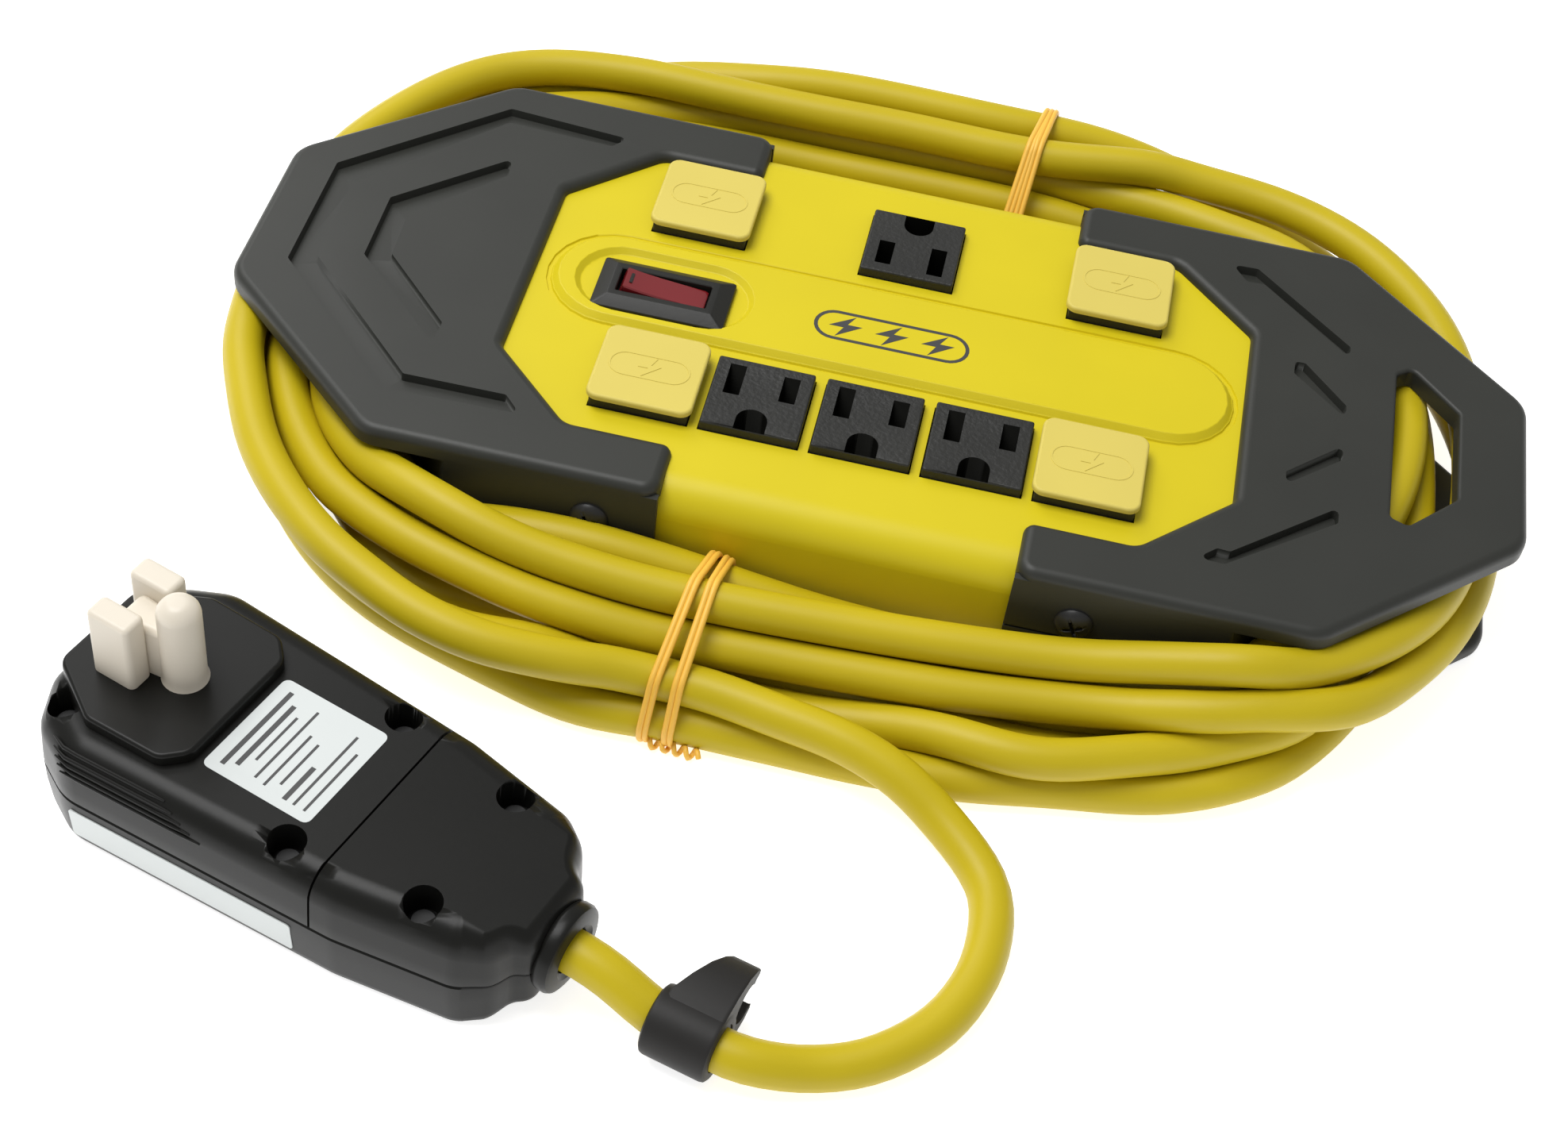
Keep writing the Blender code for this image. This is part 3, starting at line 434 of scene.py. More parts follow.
FOURTH_TURN = (
    (-143.8, -14, 9.8), (-140.5, -33, 9.8), (-132.5, -51, 9.8), (-121, -67, 9.8), (-107, -80, 9.3),
    (-92, -87.8, 7.6), (-76, -92.3, 5.6), (-60, -94.8, 4.8), (-44, -97.2, 4.75), (-28, -98.4, 4.75),
    (-10, -98.6, 4.75), (10, -98.8, 4.75), (30, -98, 4.75), (50, -95, 4.75), (72, -89.5, 4.75),
    (90, -82, 6.5), (103, -72.5, 9.6), (115, -58, 9.8), (123.5, -38, 9.8), (127.3, -16, 9.8),
    (127.8, 8, 9.8), (126.5, 28, 9.8), (120.5, 47, 9.8), (110.6, 64.2, 9.8), (98, 73.5, 9), (82, 79, 6.5),
    (62, 80.3, 5), (40, 80.2, 5), (0, 80, 5), (-40, 80, 5), (-62, 79.5, 6), (-80, 77.5, 9),
    (-97, 72.5, 10.5), (-111.5, 64.8, 11.3), (-123, 47, 11), (-130, 25, 10.7), (-132, 4, 10.5),
)
FIFTH_TURN = (
    (-131.5, -16, 10.2), (-127.5, -34, 10), (-119, -50, 10), (-108.7, -62.6, 10), (-95, -71.5, 8.8),
    (-78, -77.5, 6), (-60, -79, 4.9), (-28, -79.4, 4.75), (10, -79.6, 4.75), (30, -81.5, 4.75),
    (50, -84.6, 4.75), (72, -81.5, 5.2), (89, -75, 8), (101, -65, 9.8), (111, -48, 10), (116.8, -27, 10),
    (117.8, -4, 10), (117.3, 20, 10), (112.5, 40, 10), (102.8, 57.8, 9.9), (90, 69, 9.6), (72, 70.6, 7),
    (50, 70, 5), (20, 70, 5), (-10, 70, 5), (-40, 70, 5), (-66, 70, 6.2), (-86, 69.8, 9.6),
    (-101.3, 56.8, 10), (-111, 41, 10), (-118, 22, 10), (-120, 4, 10),
)
SIXTH_TURN = (
    (-119.3, -14, 10), (-114.5, -32, 10), (-106, -48, 10.4), (-96, -60.5, 11), (-84, -69, 11.8),
    (-60, -69.4, 12.4), (-28, -69.5, 9.9), (0, -72.4, 5.3), (25, -74.8, 5.6), (50, -75.4, 6.1),
    (72, -73.5, 8.3), (88, -70, 12), (100.5, -57.5, 15), (108.5, -41, 17), (111.2, -18, 17.5),
    (111.2, 10, 17.5), (109.5, 34, 17.7), (101.8, 57, 18.4), (90, 69.5, 17.5), (75, 77, 15.5),
    (58, 83.5, 15.4), (40, 85.2, 15.6), (0, 85.2, 15.6), (-35, 85, 15.6), (-60, 82.5, 17.2),
    (-80, 76, 20.5), (-95, 67.5, 24), (-106.3, 60.7, 26), (-117, 43, 26), (-124, 22, 25.8),
    (-126.5, 2, 25.5),
)
SEVENTH_TURN = (
    (-125.8, -18, 25.2), (-122.5, -36, 24.8), (-118.7, -50.6, 24), (-110.5, -58.8, 24.3),
    (-101.6, -64.2, 25), (-89.9, -69.9, 26), (-76.6, -74.6, 26), (-63.9, -77.3, 25), (-45.6, -79.2, 23.9),
    (-26.9, -78.5, 22.6), (-1.2, -77.6, 22), (26.1, -75.3, 22), (44.5, -73.6, 22.2), (60, -72.2, 23),
    (75.3, -70.6, 24.8), (88, -69.6, 26.6), (98.2, -66.8, 27.5), (113, -59.2, 27.5), (126.5, -46.3, 26.3),
    (134, -33.4, 25.3), (138.8, -17.8, 24.6), (141, 0, 24.6), (140.6, 20, 25.2), (136.8, 40, 26.5),
    (130.4, 56.6, 27.8), (122.5, 67.7, 28), (113.6, 78.1, 28), (100.5, 86.7, 28), (82.8, 92.6, 28),
    (65.5, 93, 28), (43.3, 92, 28), (21.1, 90.6, 27.8), (-9, 91, 27.9), (-26.4, 90.3, 28), (-48.4, 90, 28),
    (-63.7, 89.9, 28), (-78.8, 89.6, 28), (-93.7, 88, 28), (-104.4, 85.5, 28), (-114.7, 80.5, 28),
    (-123.4, 71.8, 28), (-135, 54, 27.8), (-143, 33, 27.6), (-146.3, 8, 27.5),
)
LAST_PASS = (
    (-146.6, -14, 27.5), (-143.9, -33.9, 27.4), (-138.8, -47.4, 27), (-130.4, -63.6, 26.6),
    (-120.2, -76.4, 26), (-108.4, -86.7, 25.2), (-96.8, -93.3, 24), (-83.5, -99, 22.5), (-68.8, -101.7, 20.8),
    (-52.3, -99.8, 18), (-40.8, -96.8, 15.5), (-29.7, -95.4, 13.8), (-18.6, -95.9, 13.8), (-3.5, -98.8, 14.2),
    (11.4, -101.7, 14), (24, -105.5, 11.6),
)


def plug_point(u, v, z):
    """World point for plug coordinates: u towards its cord, v across, z up."""
    c = math.cos(PLUG_YAW)
    s = math.sin(PLUG_YAW)
    return (PLUG_X + u * c - v * s, PLUG_Y + u * s + v * c, z)


CLIP = Vector((-5.3, -175.9, 7.6))
CLIP_WAY = Vector((-0.967, 0.255, 0.0))

TAIL = [
    (35.0, -111.3, 7.5), (45.1, -120.6, 5.2), (49.1, -130.4, 4.85), (48.6, -145.2, 4.8), (42.8, -159.3, 4.8),
    (31.8, -170.4, 4.8), (19.4, -176.0, 4.9), tuple(CLIP - CLIP_WAY * 12.0), tuple(CLIP),
    tuple(CLIP + CLIP_WAY * 8.0 + Vector((0.0, 0.0, 1.6))), plug_point(36.5, 0.1, 12.6),
    plug_point(30.5, 0.0, CORD_AXIS_Z - 0.1), plug_point(25.0, 0.0, CORD_AXIS_Z),
]


def smooth_path(points, step):
    """Catmull-Rom curve through the points, resampled at an even step."""
    samples = 24
    pts = np.array(points, dtype=float)
    pts = np.vstack([2 * pts[0] - pts[1], pts, 2 * pts[-1] - pts[-2]])
    dense = []
    for p0, p1, p2, p3 in zip(pts, pts[1:], pts[2:], pts[3:]):
        t = np.linspace(0.0, 1.0, samples, endpoint=False)[:, None]
        dense.append(0.5 * (2 * p1 + (p2 - p0) * t + (2 * p0 - 5 * p1 + 4 * p2 - p3) * t ** 2
                            + (3 * p1 - p0 - 3 * p2 + p3) * t ** 3))
    dense.append(pts[-2][None])
    dense = np.vstack(dense)
    run = np.concatenate([[0.0], np.cumsum(np.linalg.norm(np.diff(dense, axis=0), axis=1))])
    count = int(round(run[-1] / step))
    even = np.linspace(0.0, run[-1], count + 1)
    return np.column_stack([np.interp(even, run, dense[:, k]) for k in range(3)])


def octagon_distance(p, half_x, half_y, corner_x, corner_y):
    """Signed distance to an octagonal outline, with the outward direction; negative inside."""
    sx = np.where(p[:, 0] < 0, -1.0, 1.0)
    sy = np.where(p[:, 1] < 0, -1.0, 1.0)
    ax = np.abs(p[:, 0])
    ay = np.abs(p[:, 1])
    slant = np.array([half_y - corner_y, half_x - corner_x])
    slant = slant / np.linalg.norm(slant)
    faces = np.column_stack([ax - half_x, ay - half_y,
                             (ax - corner_x) * slant[0] + (ay - half_y) * slant[1]])
    best = faces.argmax(axis=1)
    ways = np.array([[1.0, 0.0], [0.0, 1.0], slant])[best]
    return faces.max(axis=1), np.column_stack([ways[:, 0] * sx, ways[:, 1] * sy])


def settle(path, fixed, rounds):
    """Push the strands apart where they touch, off the floor, the core and both flanges."""
    target = path.copy()
    p = path.copy()
    index = np.arange(len(p))
    spacing = np.linalg.norm(np.diff(p, axis=0), axis=1).mean()
    # Points closer than this along the cord belong to one strand and do not push each other.
    same_strand = 26.0
    apart = int(same_strand / spacing)
    reach = CORD_R + 0.25
    thick = 2.0 * CORD_R + 0.1
    look_again = 15
    look_around = 4.0
    straighten = 0.5
    go_back = 0.02
    yield_by = 0.6
    for turn in range(rounds):
        bend = np.zeros_like(p)
        bend[2:-2] = (4 * (p[1:-3] + p[3:-1]) - p[:-4] - p[4:]) / 6.0 - p[2:-2]
        p += straighten * bend + go_back * (target - p)
        if turn % look_again == 0:
            gap = np.linalg.norm(p[:, None, :] - p[None, :, :], axis=2)
            near = (gap < thick + look_around) & (np.abs(index[:, None] - index[None, :]) > apart)
            a, b = np.nonzero(near)
        way = p[a] - p[b]
        size = np.linalg.norm(way, axis=1)
        hit = size < thick
        push = np.zeros_like(p)
        count = np.zeros(len(p))
        size = np.maximum(size[hit], 1e-6)[:, None]
        np.add.at(push, a[hit], way[hit] / size * (thick - size) * yield_by)
        np.add.at(count, a[hit], 1.0)
        p += push / np.maximum(count, 1.0)[:, None]
        core, out = octagon_distance(p, CORE_X, HALF_WIDTH, CORE_SIDE_X, CORE_SLANT_Y)
        p[:, :2] += out * np.clip(reach - core, 0.0, None)[:, None]
        rim, _ = octagon_distance(p, HALF_LENGTH, HALF_WIDTH, CORNER_X, CORNER_Y)
        beside = np.clip(np.maximum(rim, CORE_SIDE_X - np.abs(p[:, 0])), 0.0, None)
        for face, up in ((FLANGE, 1.0), (HEIGHT - FLANGE, -1.0)):
            rise = np.clip((p[:, 2] - face) * up, 0.0, None)
            need = np.sqrt(np.clip(reach ** 2 - beside ** 2, 0.0, None))
            p[:, 2] += up * np.clip(need - rise, 0.0, None) * (beside < reach)
        p[:, 2] = np.maximum(p[:, 2], CORD_R)
        p[fixed] = target[fixed]
    return p


def cord_route():
    """Centreline of the whole cord, from where it leaves the strip to the plug."""
    points = []
    for turn in (FIRST_TURN, SECOND_TURN, THIRD_TURN, FOURTH_TURN, FIFTH_TURN, SIXTH_TURN, SEVENTH_TURN,
                 LAST_PASS, TAIL):
        points.extend(turn)
    step = 5.0
    final_step = 3.5
    held_at_plug = 370.0
    held_at_gland = 4
    rounds = 240
    path = smooth_path(points, step)
    fixed = np.r_[0:held_at_gland, len(path) - int(held_at_plug / step):len(path)]
    return smooth_path(settle(path, fixed, rounds), final_step)


def make_cord(route):
    cord = tube("cord", route, CORD_R, CORD, 5)
    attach(cord, "strip")
    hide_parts("cord_coil", "cord_tail")


# ---- rubber bands ----

def hull(points):
    """Convex hull of flat points, anticlockwise."""
    points = sorted(points)
    halves = []
    for run in (points, points[::-1]):
        chain = []
        for p in run:
            while len(chain) > 1 and ((chain[-1][0] - chain[-2][0]) * (p[1] - chain[-2][1])
                                      - (chain[-1][1] - chain[-2][1]) * (p[0] - chain[-2][0])) <= 0:
                chain.pop()
            chain.append(p)
        halves.append(chain[:-1])
    return halves[0] + halves[1]


def band_loop(route, side, x_in, x_out, radius):
    """Loop drawn tight round every strand on one long side, leaning from x_in to x_out."""
    middle = (x_in + x_out) / 2.0
    rim = []
    for a, b in zip(route, route[1:]):
        if (a[0] - middle) * (b[0] - middle) <= 0.0 and a[1] * side > 60.0 and abs(a[1]) < 115.0:
            rim += circle((a[1] + b[1]) / 2.0, max((a[2] + b[2]) / 2.0, CORD_R + 0.8), CORD_R + radius, 24)
    loop = []
    near = min(abs(y) for y, _ in rim)
    far = max(abs(y) for y, _ in rim)
    for y, z in hull(rim):
        share = (abs(y) - near) / (far - near)
        loop.append((x_in + (x_out - x_in) * share, y, max(z, radius)))
    return loop


def rubber_band(name, node, route, side, runs):
    """Ribbed band taken twice round the strands."""
    radius = 0.75
    spread = 0.6
    for k, (x_in, x_out) in enumerate(runs):
        for rib, shift in (("a", -spread), ("b", spread)):
            loop = band_loop(route, side, x_in + shift, x_out + shift, radius)
            item = tube(f"{name}_{k}{rib}", loop, radius, RUBBER, 2, cyclic=True)
            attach(item, "strip")
            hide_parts(node)


def band_knot():
    """Twisted end of the front band, lying on the floor in front of the strands."""
    x, y, z = (-30.5, -103.6, 1.9)
    points_a_turn = 9.0
    points = []
    for i in range(41):
        a = 2.0 * math.pi * i / points_a_turn
        size = 0.9 + 0.5 * random.random()
        points.append((x + 0.3 * i, y + size * math.cos(a) - 0.02 * i, z + size * math.sin(a)))
    knot = tube("band_front_knot", points, 0.6, RUBBER, 2)
    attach(knot, "strip")


# ---- black end pieces ----

PLATE_CORNERS = (
    (ARM_END_X, -HALF_WIDTH), (CORNER_X, -HALF_WIDTH), (HALF_LENGTH, -CORNER_Y), (HALF_LENGTH, CORNER_Y),
    (CORNER_X, HALF_WIDTH), (ARM_END_X, HALF_WIDTH), (ARM_END_X, 48.6), (64.4, 48.6), (84.3, 28.6),
    (84.3, -28.6), (64.4, -48.6), (ARM_END_X, -48.6),
)
PLATE_RADII = (4.0, 9.0, 9.0, 9.0, 9.0, 4.0, 2.5, 5.0, 3.0, 3.0, 5.0, 2.5)
FLANGE_CORNERS = (
    (CORE_SIDE_X, -HALF_WIDTH), (CORNER_X, -HALF_WIDTH), (HALF_LENGTH, -CORNER_Y), (HALF_LENGTH, CORNER_Y),
    (CORNER_X, HALF_WIDTH), (CORE_SIDE_X, HALF_WIDTH),
)
FLANGE_RADII = (0.5, 9.0, 9.0, 9.0, 9.0, 0.5)
CORE_CORNERS = (
    (ARM_END_X, -HALF_WIDTH), (CORE_SIDE_X, -HALF_WIDTH), (CORE_X, -CORE_SLANT_Y), (CORE_X, CORE_SLANT_Y),
    (CORE_SIDE_X, HALF_WIDTH), (ARM_END_X, HALF_WIDTH),
)
HANDLE = ((119.3, -23.6), (123.4, -25.2), (134.2, -13.6), (134.2, 15.1), (122.8, 27.2), (119.3, 24.4))
RIGHT_GROOVES = (
    ((77.6, 51.7), (81.5, 46.4), (85.8, 46.7), (107.7, 26.4), (107.7, 30.3), (83.9, 52.0)),
    ((94.9, 21.2), (94.9, 16.9), (107.7, 5.2), (107.7, 9.4), (97.4, 21.2)),
    ((95.1, -16.6), (95.4, -20.6), (107.7, -9.0), (107.7, -4.2)),
    ((77.7, -49.2), (83.6, -49.6), (107.7, -29.6), (107.7, -24.6), (84.6, -45.4), (81.7, -45.2)),
)
LEFT_CHANNELS = (
    ((-74.5, 51.5), (-105.0, 53.7), (-139.1, 20.0), (-139.1, -16.3), (-106.0, -51.1), (-74.4, -50.1),
     (-78.9, -45.1), (-102.5, -45.4), (-132.8, -13.6), (-133.5, 13.9), (-103.9, 48.3), (-77.7, 47.4)),
    ((-99.5, 34.8), (-123.2, 11.7), (-122.9, -9.7), (-99.4, -33.7), (-99.0, -26.8), (-116.8, -7.7),
     (-117.5, 7.2), (-98.9, 28.4)),
)
GLAND_Z = 19.85


def groove_tool(outlines, depth, slope):
    bm = bmesh.new()
    for outline in outlines:
        soft = fillet(outline, 1.0, 3)
        rise = 0.6
        loft(bm, [level(soft, slope, HEIGHT - depth), level(soft, -slope * rise / depth, HEIGHT + rise)])
    return bm


def core_skirt(name, node, side, z0, z1):
    """Wall that the cord lies against, with the arms that run along the housing."""
    outer = drawn_in(fillet(mirror(CORE_CORNERS, side), 1.2, 3), 0.05)
    wall = 1.7
    inner = drawn_in(outer, wall)
    open_at = ARM_END_X * side
    path = [p for p in outer if abs(p[0]) > ARM_END_X + 1.3]
    back = [p for p in inner if abs(p[0]) > ARM_END_X + wall + 1.3]
    ends = [(open_at, HALF_WIDTH * side), (open_at, (HALF_WIDTH - wall) * side)]
    ends += [(open_at, -(HALF_WIDTH - wall) * side), (open_at, -HALF_WIDTH * side)]
    # Outer face first, then back along the inner face, anticlockwise.
    outline = path + ends[:2] + list(reversed(back)) + ends[2:]
    rings = [level(outline, 0.3, z0), level(outline, 0.0, z0 + 0.4), level(outline, 0.0, z1)]
    solid(name, skin(rings), BLACK, stands_for=(node,))


def handle_tool():
    """Hole for the hand, its rim rounded where it meets the plate's top."""
    hole = fillet(HANDLE, 1.6, 5)
    edge = 1.0
    rings = [level(hole, 0.0, HEIGHT - FLANGE - 1.0), level(hole, 0.0, HEIGHT - edge)]
    for i in range(1, 5):
        a = math.radians(22.5 * i)
        rings.append(level(hole, -edge * (1.0 - math.cos(a)), HEIGHT - edge + edge * math.sin(a)))
    rings.append(level(hole, -edge, HEIGHT + 1.0))
    return skin(rings)


def end_cap(node, side):
    """Upper end piece: plate with soft edges, flange, grooves and, on the right, the handle."""
    outline = fillet(mirror(PLATE_CORNERS, side), sided(PLATE_RADII, side), 6)
    rings = soft_block(outline, HEIGHT - FLANGE, HEIGHT, top=2.4, steps=5)
    plate = solid(node + "_plate", skin(rings), BLACK, stands_for=(node,))
    if side > 0:
        carve(plate, groove_tool(RIGHT_GROOVES, 2.2, 0.3))
        carve(plate, handle_tool())
    else:
        carve(plate, groove_tool(LEFT_CHANNELS, 2.0, 0.35))
    core_skirt(node + "_skirt", node, side, 20.0, HEIGHT - 2.8)


def lower_flange(node, side):
    outline = fillet(mirror(FLANGE_CORNERS, side), sided(FLANGE_RADII, side), 6)
    rings = soft_block(outline, 0.0, FLANGE, top=1.8, bottom=1.8, steps=5)
    solid(node + "_plate", skin(rings), BLACK, stands_for=(node,))
    core_skirt(node + "_skirt", node, side, 0.3, 19.7)


# ---- steel housing ----

SHELL_HALF_X = 86.8
SHELL_HALF_Y = 62.3
SHELL_TOP = 35.5
SHELL_FILLET = 8.0
PITCH = 25.4
OUTLET_SHIFT = 0.8
ROW_FRONT_Y = -29.05
ROW_REAR_Y = 33.55
INSERT_X = 22.6
INSERT_Y = 22.5
WINDOW_X = 11.6
WINDOW_Y = 11.55
SLOT_ROW = 4.2
SLOT_X = 6.35
GROUND_DROP = 11.9
CAP_SIZE = 24.4
SWITCH_X = -53.3
SWITCH_Y = -0.2


def outlet_places():
    places = [("front", i + 1, OUTLET_SHIFT + (i - 2) * PITCH, ROW_FRONT_Y, 1) for i in range(5)]
    places += [("rear", i + 1, OUTLET_SHIFT + (i - 1) * 2 * PITCH, ROW_REAR_Y, -1) for i in range(3)]
    return places


def shell_profile(inset, bottom):
    """Section across the housing, drawn in by inset and cut off level at the given height."""
    radius = SHELL_FILLET - inset
    profile = [(-SHELL_HALF_Y + inset, bottom)]
    for corner, a0 in ((-1, 180.0), (1, 90.0)):
        y = corner * (SHELL_HALF_Y - SHELL_FILLET)
        profile += [polar(y, SHELL_TOP - SHELL_FILLET, radius, a0 - 7.5 * i) for i in range(13)]
    profile.append((SHELL_HALF_Y - inset, bottom))
    return profile


def shell_block(inset, bottom):
    """Solid block of the housing's section, drawn in all round by inset."""
    reach = SHELL_HALF_X - inset
    return skin([[(x, y, z) for y, z in shell_profile(inset, bottom)] for x in (-reach, reach)])


def shell_rings(outline, steps):
    """Rings on the housing's top: each step is an inset and a height above it."""
    return [level(outline, inset, SHELL_TOP + z) for inset, z in steps]


def housing():
    """Folded steel shell with a raised panel, a dished switch recess and the outlet windows."""
    sheet = 1.0
    sharp = 25.0
    shell = solid("housing", shell_block(0.0, 1.3), YELLOW, stands_for=("housing_shell",))
    raised = stadium(-79.5, 81.0, 2.5, 14.2)
    panel = ((-0.9, -0.5), (-0.9, 0.03), (-0.6, 0.18), (0.4, 1.3), (0.8, 1.45))
    carve(shell, skin(shell_rings(raised, panel)), "UNION", sharp)
    foot = ((-2.5, 0.4), (-2.1, -0.45), (-1.3, -0.45), (-0.8, 0.4))
    carve(shell, skin(shell_rings(raised, foot), closed=True), "DIFFERENCE", sharp)
    carve(shell, shell_block(sheet, 0.5), "DIFFERENCE", sharp)
    dish = ((1.2, 0.02), (0.8, 0.2), (-0.2, 1.3), (-0.6, 1.5), (-0.6, 3.0))
    carve(shell, skin(shell_rings(stadium(-74.6, -32.4, 1.8, 11.0), dish)), "DIFFERENCE", sharp)
    bm = bmesh.new()
    below = 30.0
    above = 42.0
    for _, _, x, y, _ in outlet_places():
        box(bm, x - WINDOW_X, x + WINDOW_X, y - WINDOW_Y, y + WINDOW_Y, below, above)
    box(bm, SWITCH_X - 14.2, SWITCH_X + 14.2, SWITCH_Y - 6.6, SWITCH_Y + 6.6, below, above)
    carve(shell, bm, "DIFFERENCE", sharp)
    bm = bmesh.new()
    box(bm, -SHELL_HALF_X, SHELL_HALF_X, -SHELL_HALF_Y, SHELL_HALF_Y, 0.0, sheet)
    solid("base", bm, YELLOW, stands_for=("base_plate",))


def printed_mark():
    """Three plain bolts in a long pill, printed dark on the raised panel."""
    z = SHELL_TOP + 1.49
    low = z - 0.04
    middle = 1.4
    pill = stadium(-17.5, 19.5, middle, 5.0)
    line = ((0.0, low), (0.0, z), (0.9, z), (0.9, low))
    bm = skin([level(pill, inset, h) for inset, h in line], closed=True)
    for x in (-10.0, 1.0, 12.0):
        loft(bm, [flat(bolt_outline(x, middle, 3.9, 3.8), h) for h in (low, z)])
    solid("printed_mark", bm, INK)


def side_screw(node, x, side):
    """Truss head with a cross recess."""
    face = side * (HALF_WIDTH - 0.1)
    z = 25.3
    profile = ((4.3, 0.0), (4.3, 0.5), (4.0, 1.1), (3.3, 1.7), (2.2, 2.15), (0.9, 2.35))
    rings = [[(a, face + side * out, b) for a, b in circle(x, z, r)] for r, out in profile]
    head = solid(node + "_head", skin(rings), SCREW, stands_for=(node,))
    for turn in (0.4, 0.4 + math.pi / 2.0):
        bar = [(a * math.cos(turn) - b * math.sin(turn), a * math.sin(turn) + b * math.cos(turn))
               for a, b in rectangle(0.0, 0.0, 2.2, 0.4)]
        carve(head, skin([[(x + a, face + side * out, z + b) for a, b in bar] for out in (1.1, 3.0)]))


# ---- outlets and covers ----

def outlet(row, number, x, y, turn):
    """Insert with two blade slots and a ground opening; brass contacts show inside."""
    node = f"outlet_{row}_{number}"
    shape = fillet(rectangle(x, y, INSERT_X / 2.0, INSERT_Y / 2.0), 0.5, 2)
    rings = soft_block(shape, 24.0, HEIGHT, top=0.5, steps=3)
    item = solid(node + "_face", skin(rings), INSERT, stands_for=(node,))
    line = y + turn * SLOT_ROW
    floor = 24.5
    above = 41.0
    bm = bmesh.new()
    for dx, half in ((-SLOT_X, 4.9), (SLOT_X, 4.15)):
        sx = x + turn * dx
        box(bm, sx - 1.9, sx + 1.9, line - half, line + half, floor, above)
    ground_y = line - turn * GROUND_DROP
    radius = 3.6
    arch = [(-radius, -3.45), (radius, -3.45)]
    for i in range(15):
        a = math.pi * i / 14
        arch.append((radius * math.cos(a), -0.15 + radius * math.sin(a)))
    loft(bm, [[(x + turn * a, ground_y + turn * b, z) for a, b in arch] for z in (floor, above)])
    # The cut walls of the slots and ground opening take the near-black material, which is painted shade
    # inside the openings.
    carve(item, bm, inside=SLOT_SHADE)
    sheet = 0.3
    bm = bmesh.new()
    for dx in (-SLOT_X, SLOT_X):
        sx = x + turn * dx
        for leaf in (-1.55, 1.25):
            box(bm, sx + leaf, sx + leaf + sheet, line - 3.4, line + 3.4, floor, 29.0)
    for leaf in (-2.9, 2.6):
        box(bm, x + leaf, x + leaf + sheet, ground_y - 2.6, ground_y + 2.0, floor, 28.5)
    solid(node + "_contacts", bm, BRASS)


def outlet_cap(node, x, y, turn):
    """Pull-out cover: soft square plate with a raised ring and bolt, blades of plastic below."""
    half = CAP_SIZE / 2.0
    shape = fillet(rectangle(x, y, half, half), 2.8, 6)
    root = HEIGHT + 0.6
    top = HEIGHT + 1.9
    bm = skin(soft_block(shape, HEIGHT + 0.3, top, top=0.7, bottom=0.2))
    line = y + turn * SLOT_ROW
    for dx in (-SLOT_X, SLOT_X):
        sx = x + turn * dx
        box(bm, sx - 1.1, sx + 1.1, line - 3.4, line + 3.4, 29.0, root)
    pin = circle(x, line - turn * GROUND_DROP, 2.7, 20)
    loft(bm, [flat(pin, z) for z in (31.0, root)])
    sunk = top - 0.1
    raised = top + 0.13
    ring = stadium(x - 9.5, x + 9.5, y, 4.0)
    loft(bm, [level(ring, 0.0, sunk), level(ring, 0.1, raised), level(ring, 0.5, raised),
              level(ring, 0.6, sunk)], closed=True)
    loft(bm, [flat(bolt_outline(x, y, 2.6, 3.2), z) for z in (sunk, raised)])
    solid(node + "_cover", bm, PALE, body=node.replace("outlet_", ""), stands_for=(node,))


# ---- switch ----

def switch_surround():
    """Raised surround with sloping sides and a closed well, whose floor the rocker passes through."""
    # Half length, half width, height and corner radius of each ring.
    levels = ((15.9, 8.5, 35.4, 0.6), (15.9, 8.5, 36.6, 0.6), (15.7, 8.3, 36.9, 0.6), (12.6, 5.7, 38.4, 0.4),
              (12.3, 5.4, 38.5, 0.3), (11.0, 4.1, 38.5, 0.3), (10.8, 3.9, 38.3, 0.3), (10.8, 3.9, 33.5, 0.3))
    rings = [flat(fillet(rectangle(SWITCH_X, SWITCH_Y, hx, hy), r, 2), z) for hx, hy, z, r in levels]
    solid("switch_surround", skin(rings), SWITCH, stands_for=("switch_bezel",))


def rocker():
    """Lens with round ends about the pivot, its left end up, and a dark mark near that end."""
    pivot_z = 35.0
    reach = 10.4
    left = [polar(0.0, 0.0, reach, a) for a in (205.0, 190.0, 178.0, 166.0, 157.0)]
    right = [polar(0.0, 0.0, reach, a) for a in (4.0, -5.0, -15.0, -25.0)]
    top = [(-9.2, 4.6), (-5.5, 3.9), (-1.0, 3.3), (4.5, 2.75), (9.3, 2.3), (10.15, 1.9)]
    profile = left + top + right
    rings = []
    for across, inset in ((-3.5, 0.35), (-3.2, 0.0), (3.2, 0.0), (3.5, 0.35)):
        shape = [(a * (1.0 - inset / reach), b - (inset if b > 0 else 0.0)) for a, b in profile]
        rings.append([(SWITCH_X + a, SWITCH_Y + across, pivot_z + b) for a, b in shape])
    solid("rocker_lens", skin(rings), LENS, body="rocker", stands_for=("switch_rocker",))
    bm = bmesh.new()
    box(bm, SWITCH_X - 8.1, SWITCH_X - 7.4, SWITCH_Y - 1.6, SWITCH_Y + 1.6, pivot_z + 4.2, pivot_z + 4.55)
    solid("rocker_mark", bm, SWITCH, body="rocker")


# ---- clip ----

def clip_point(n, z, w):
    """World point in the clip's frame: n away from the plug side, z up from its axis, w along the cord."""
    side = Vector((CLIP_WAY.y, -CLIP_WAY.x, 0.0))
    return tuple(CLIP + side * n + CLIP_WAY * w + Vector((0.0, 0.0, z)))


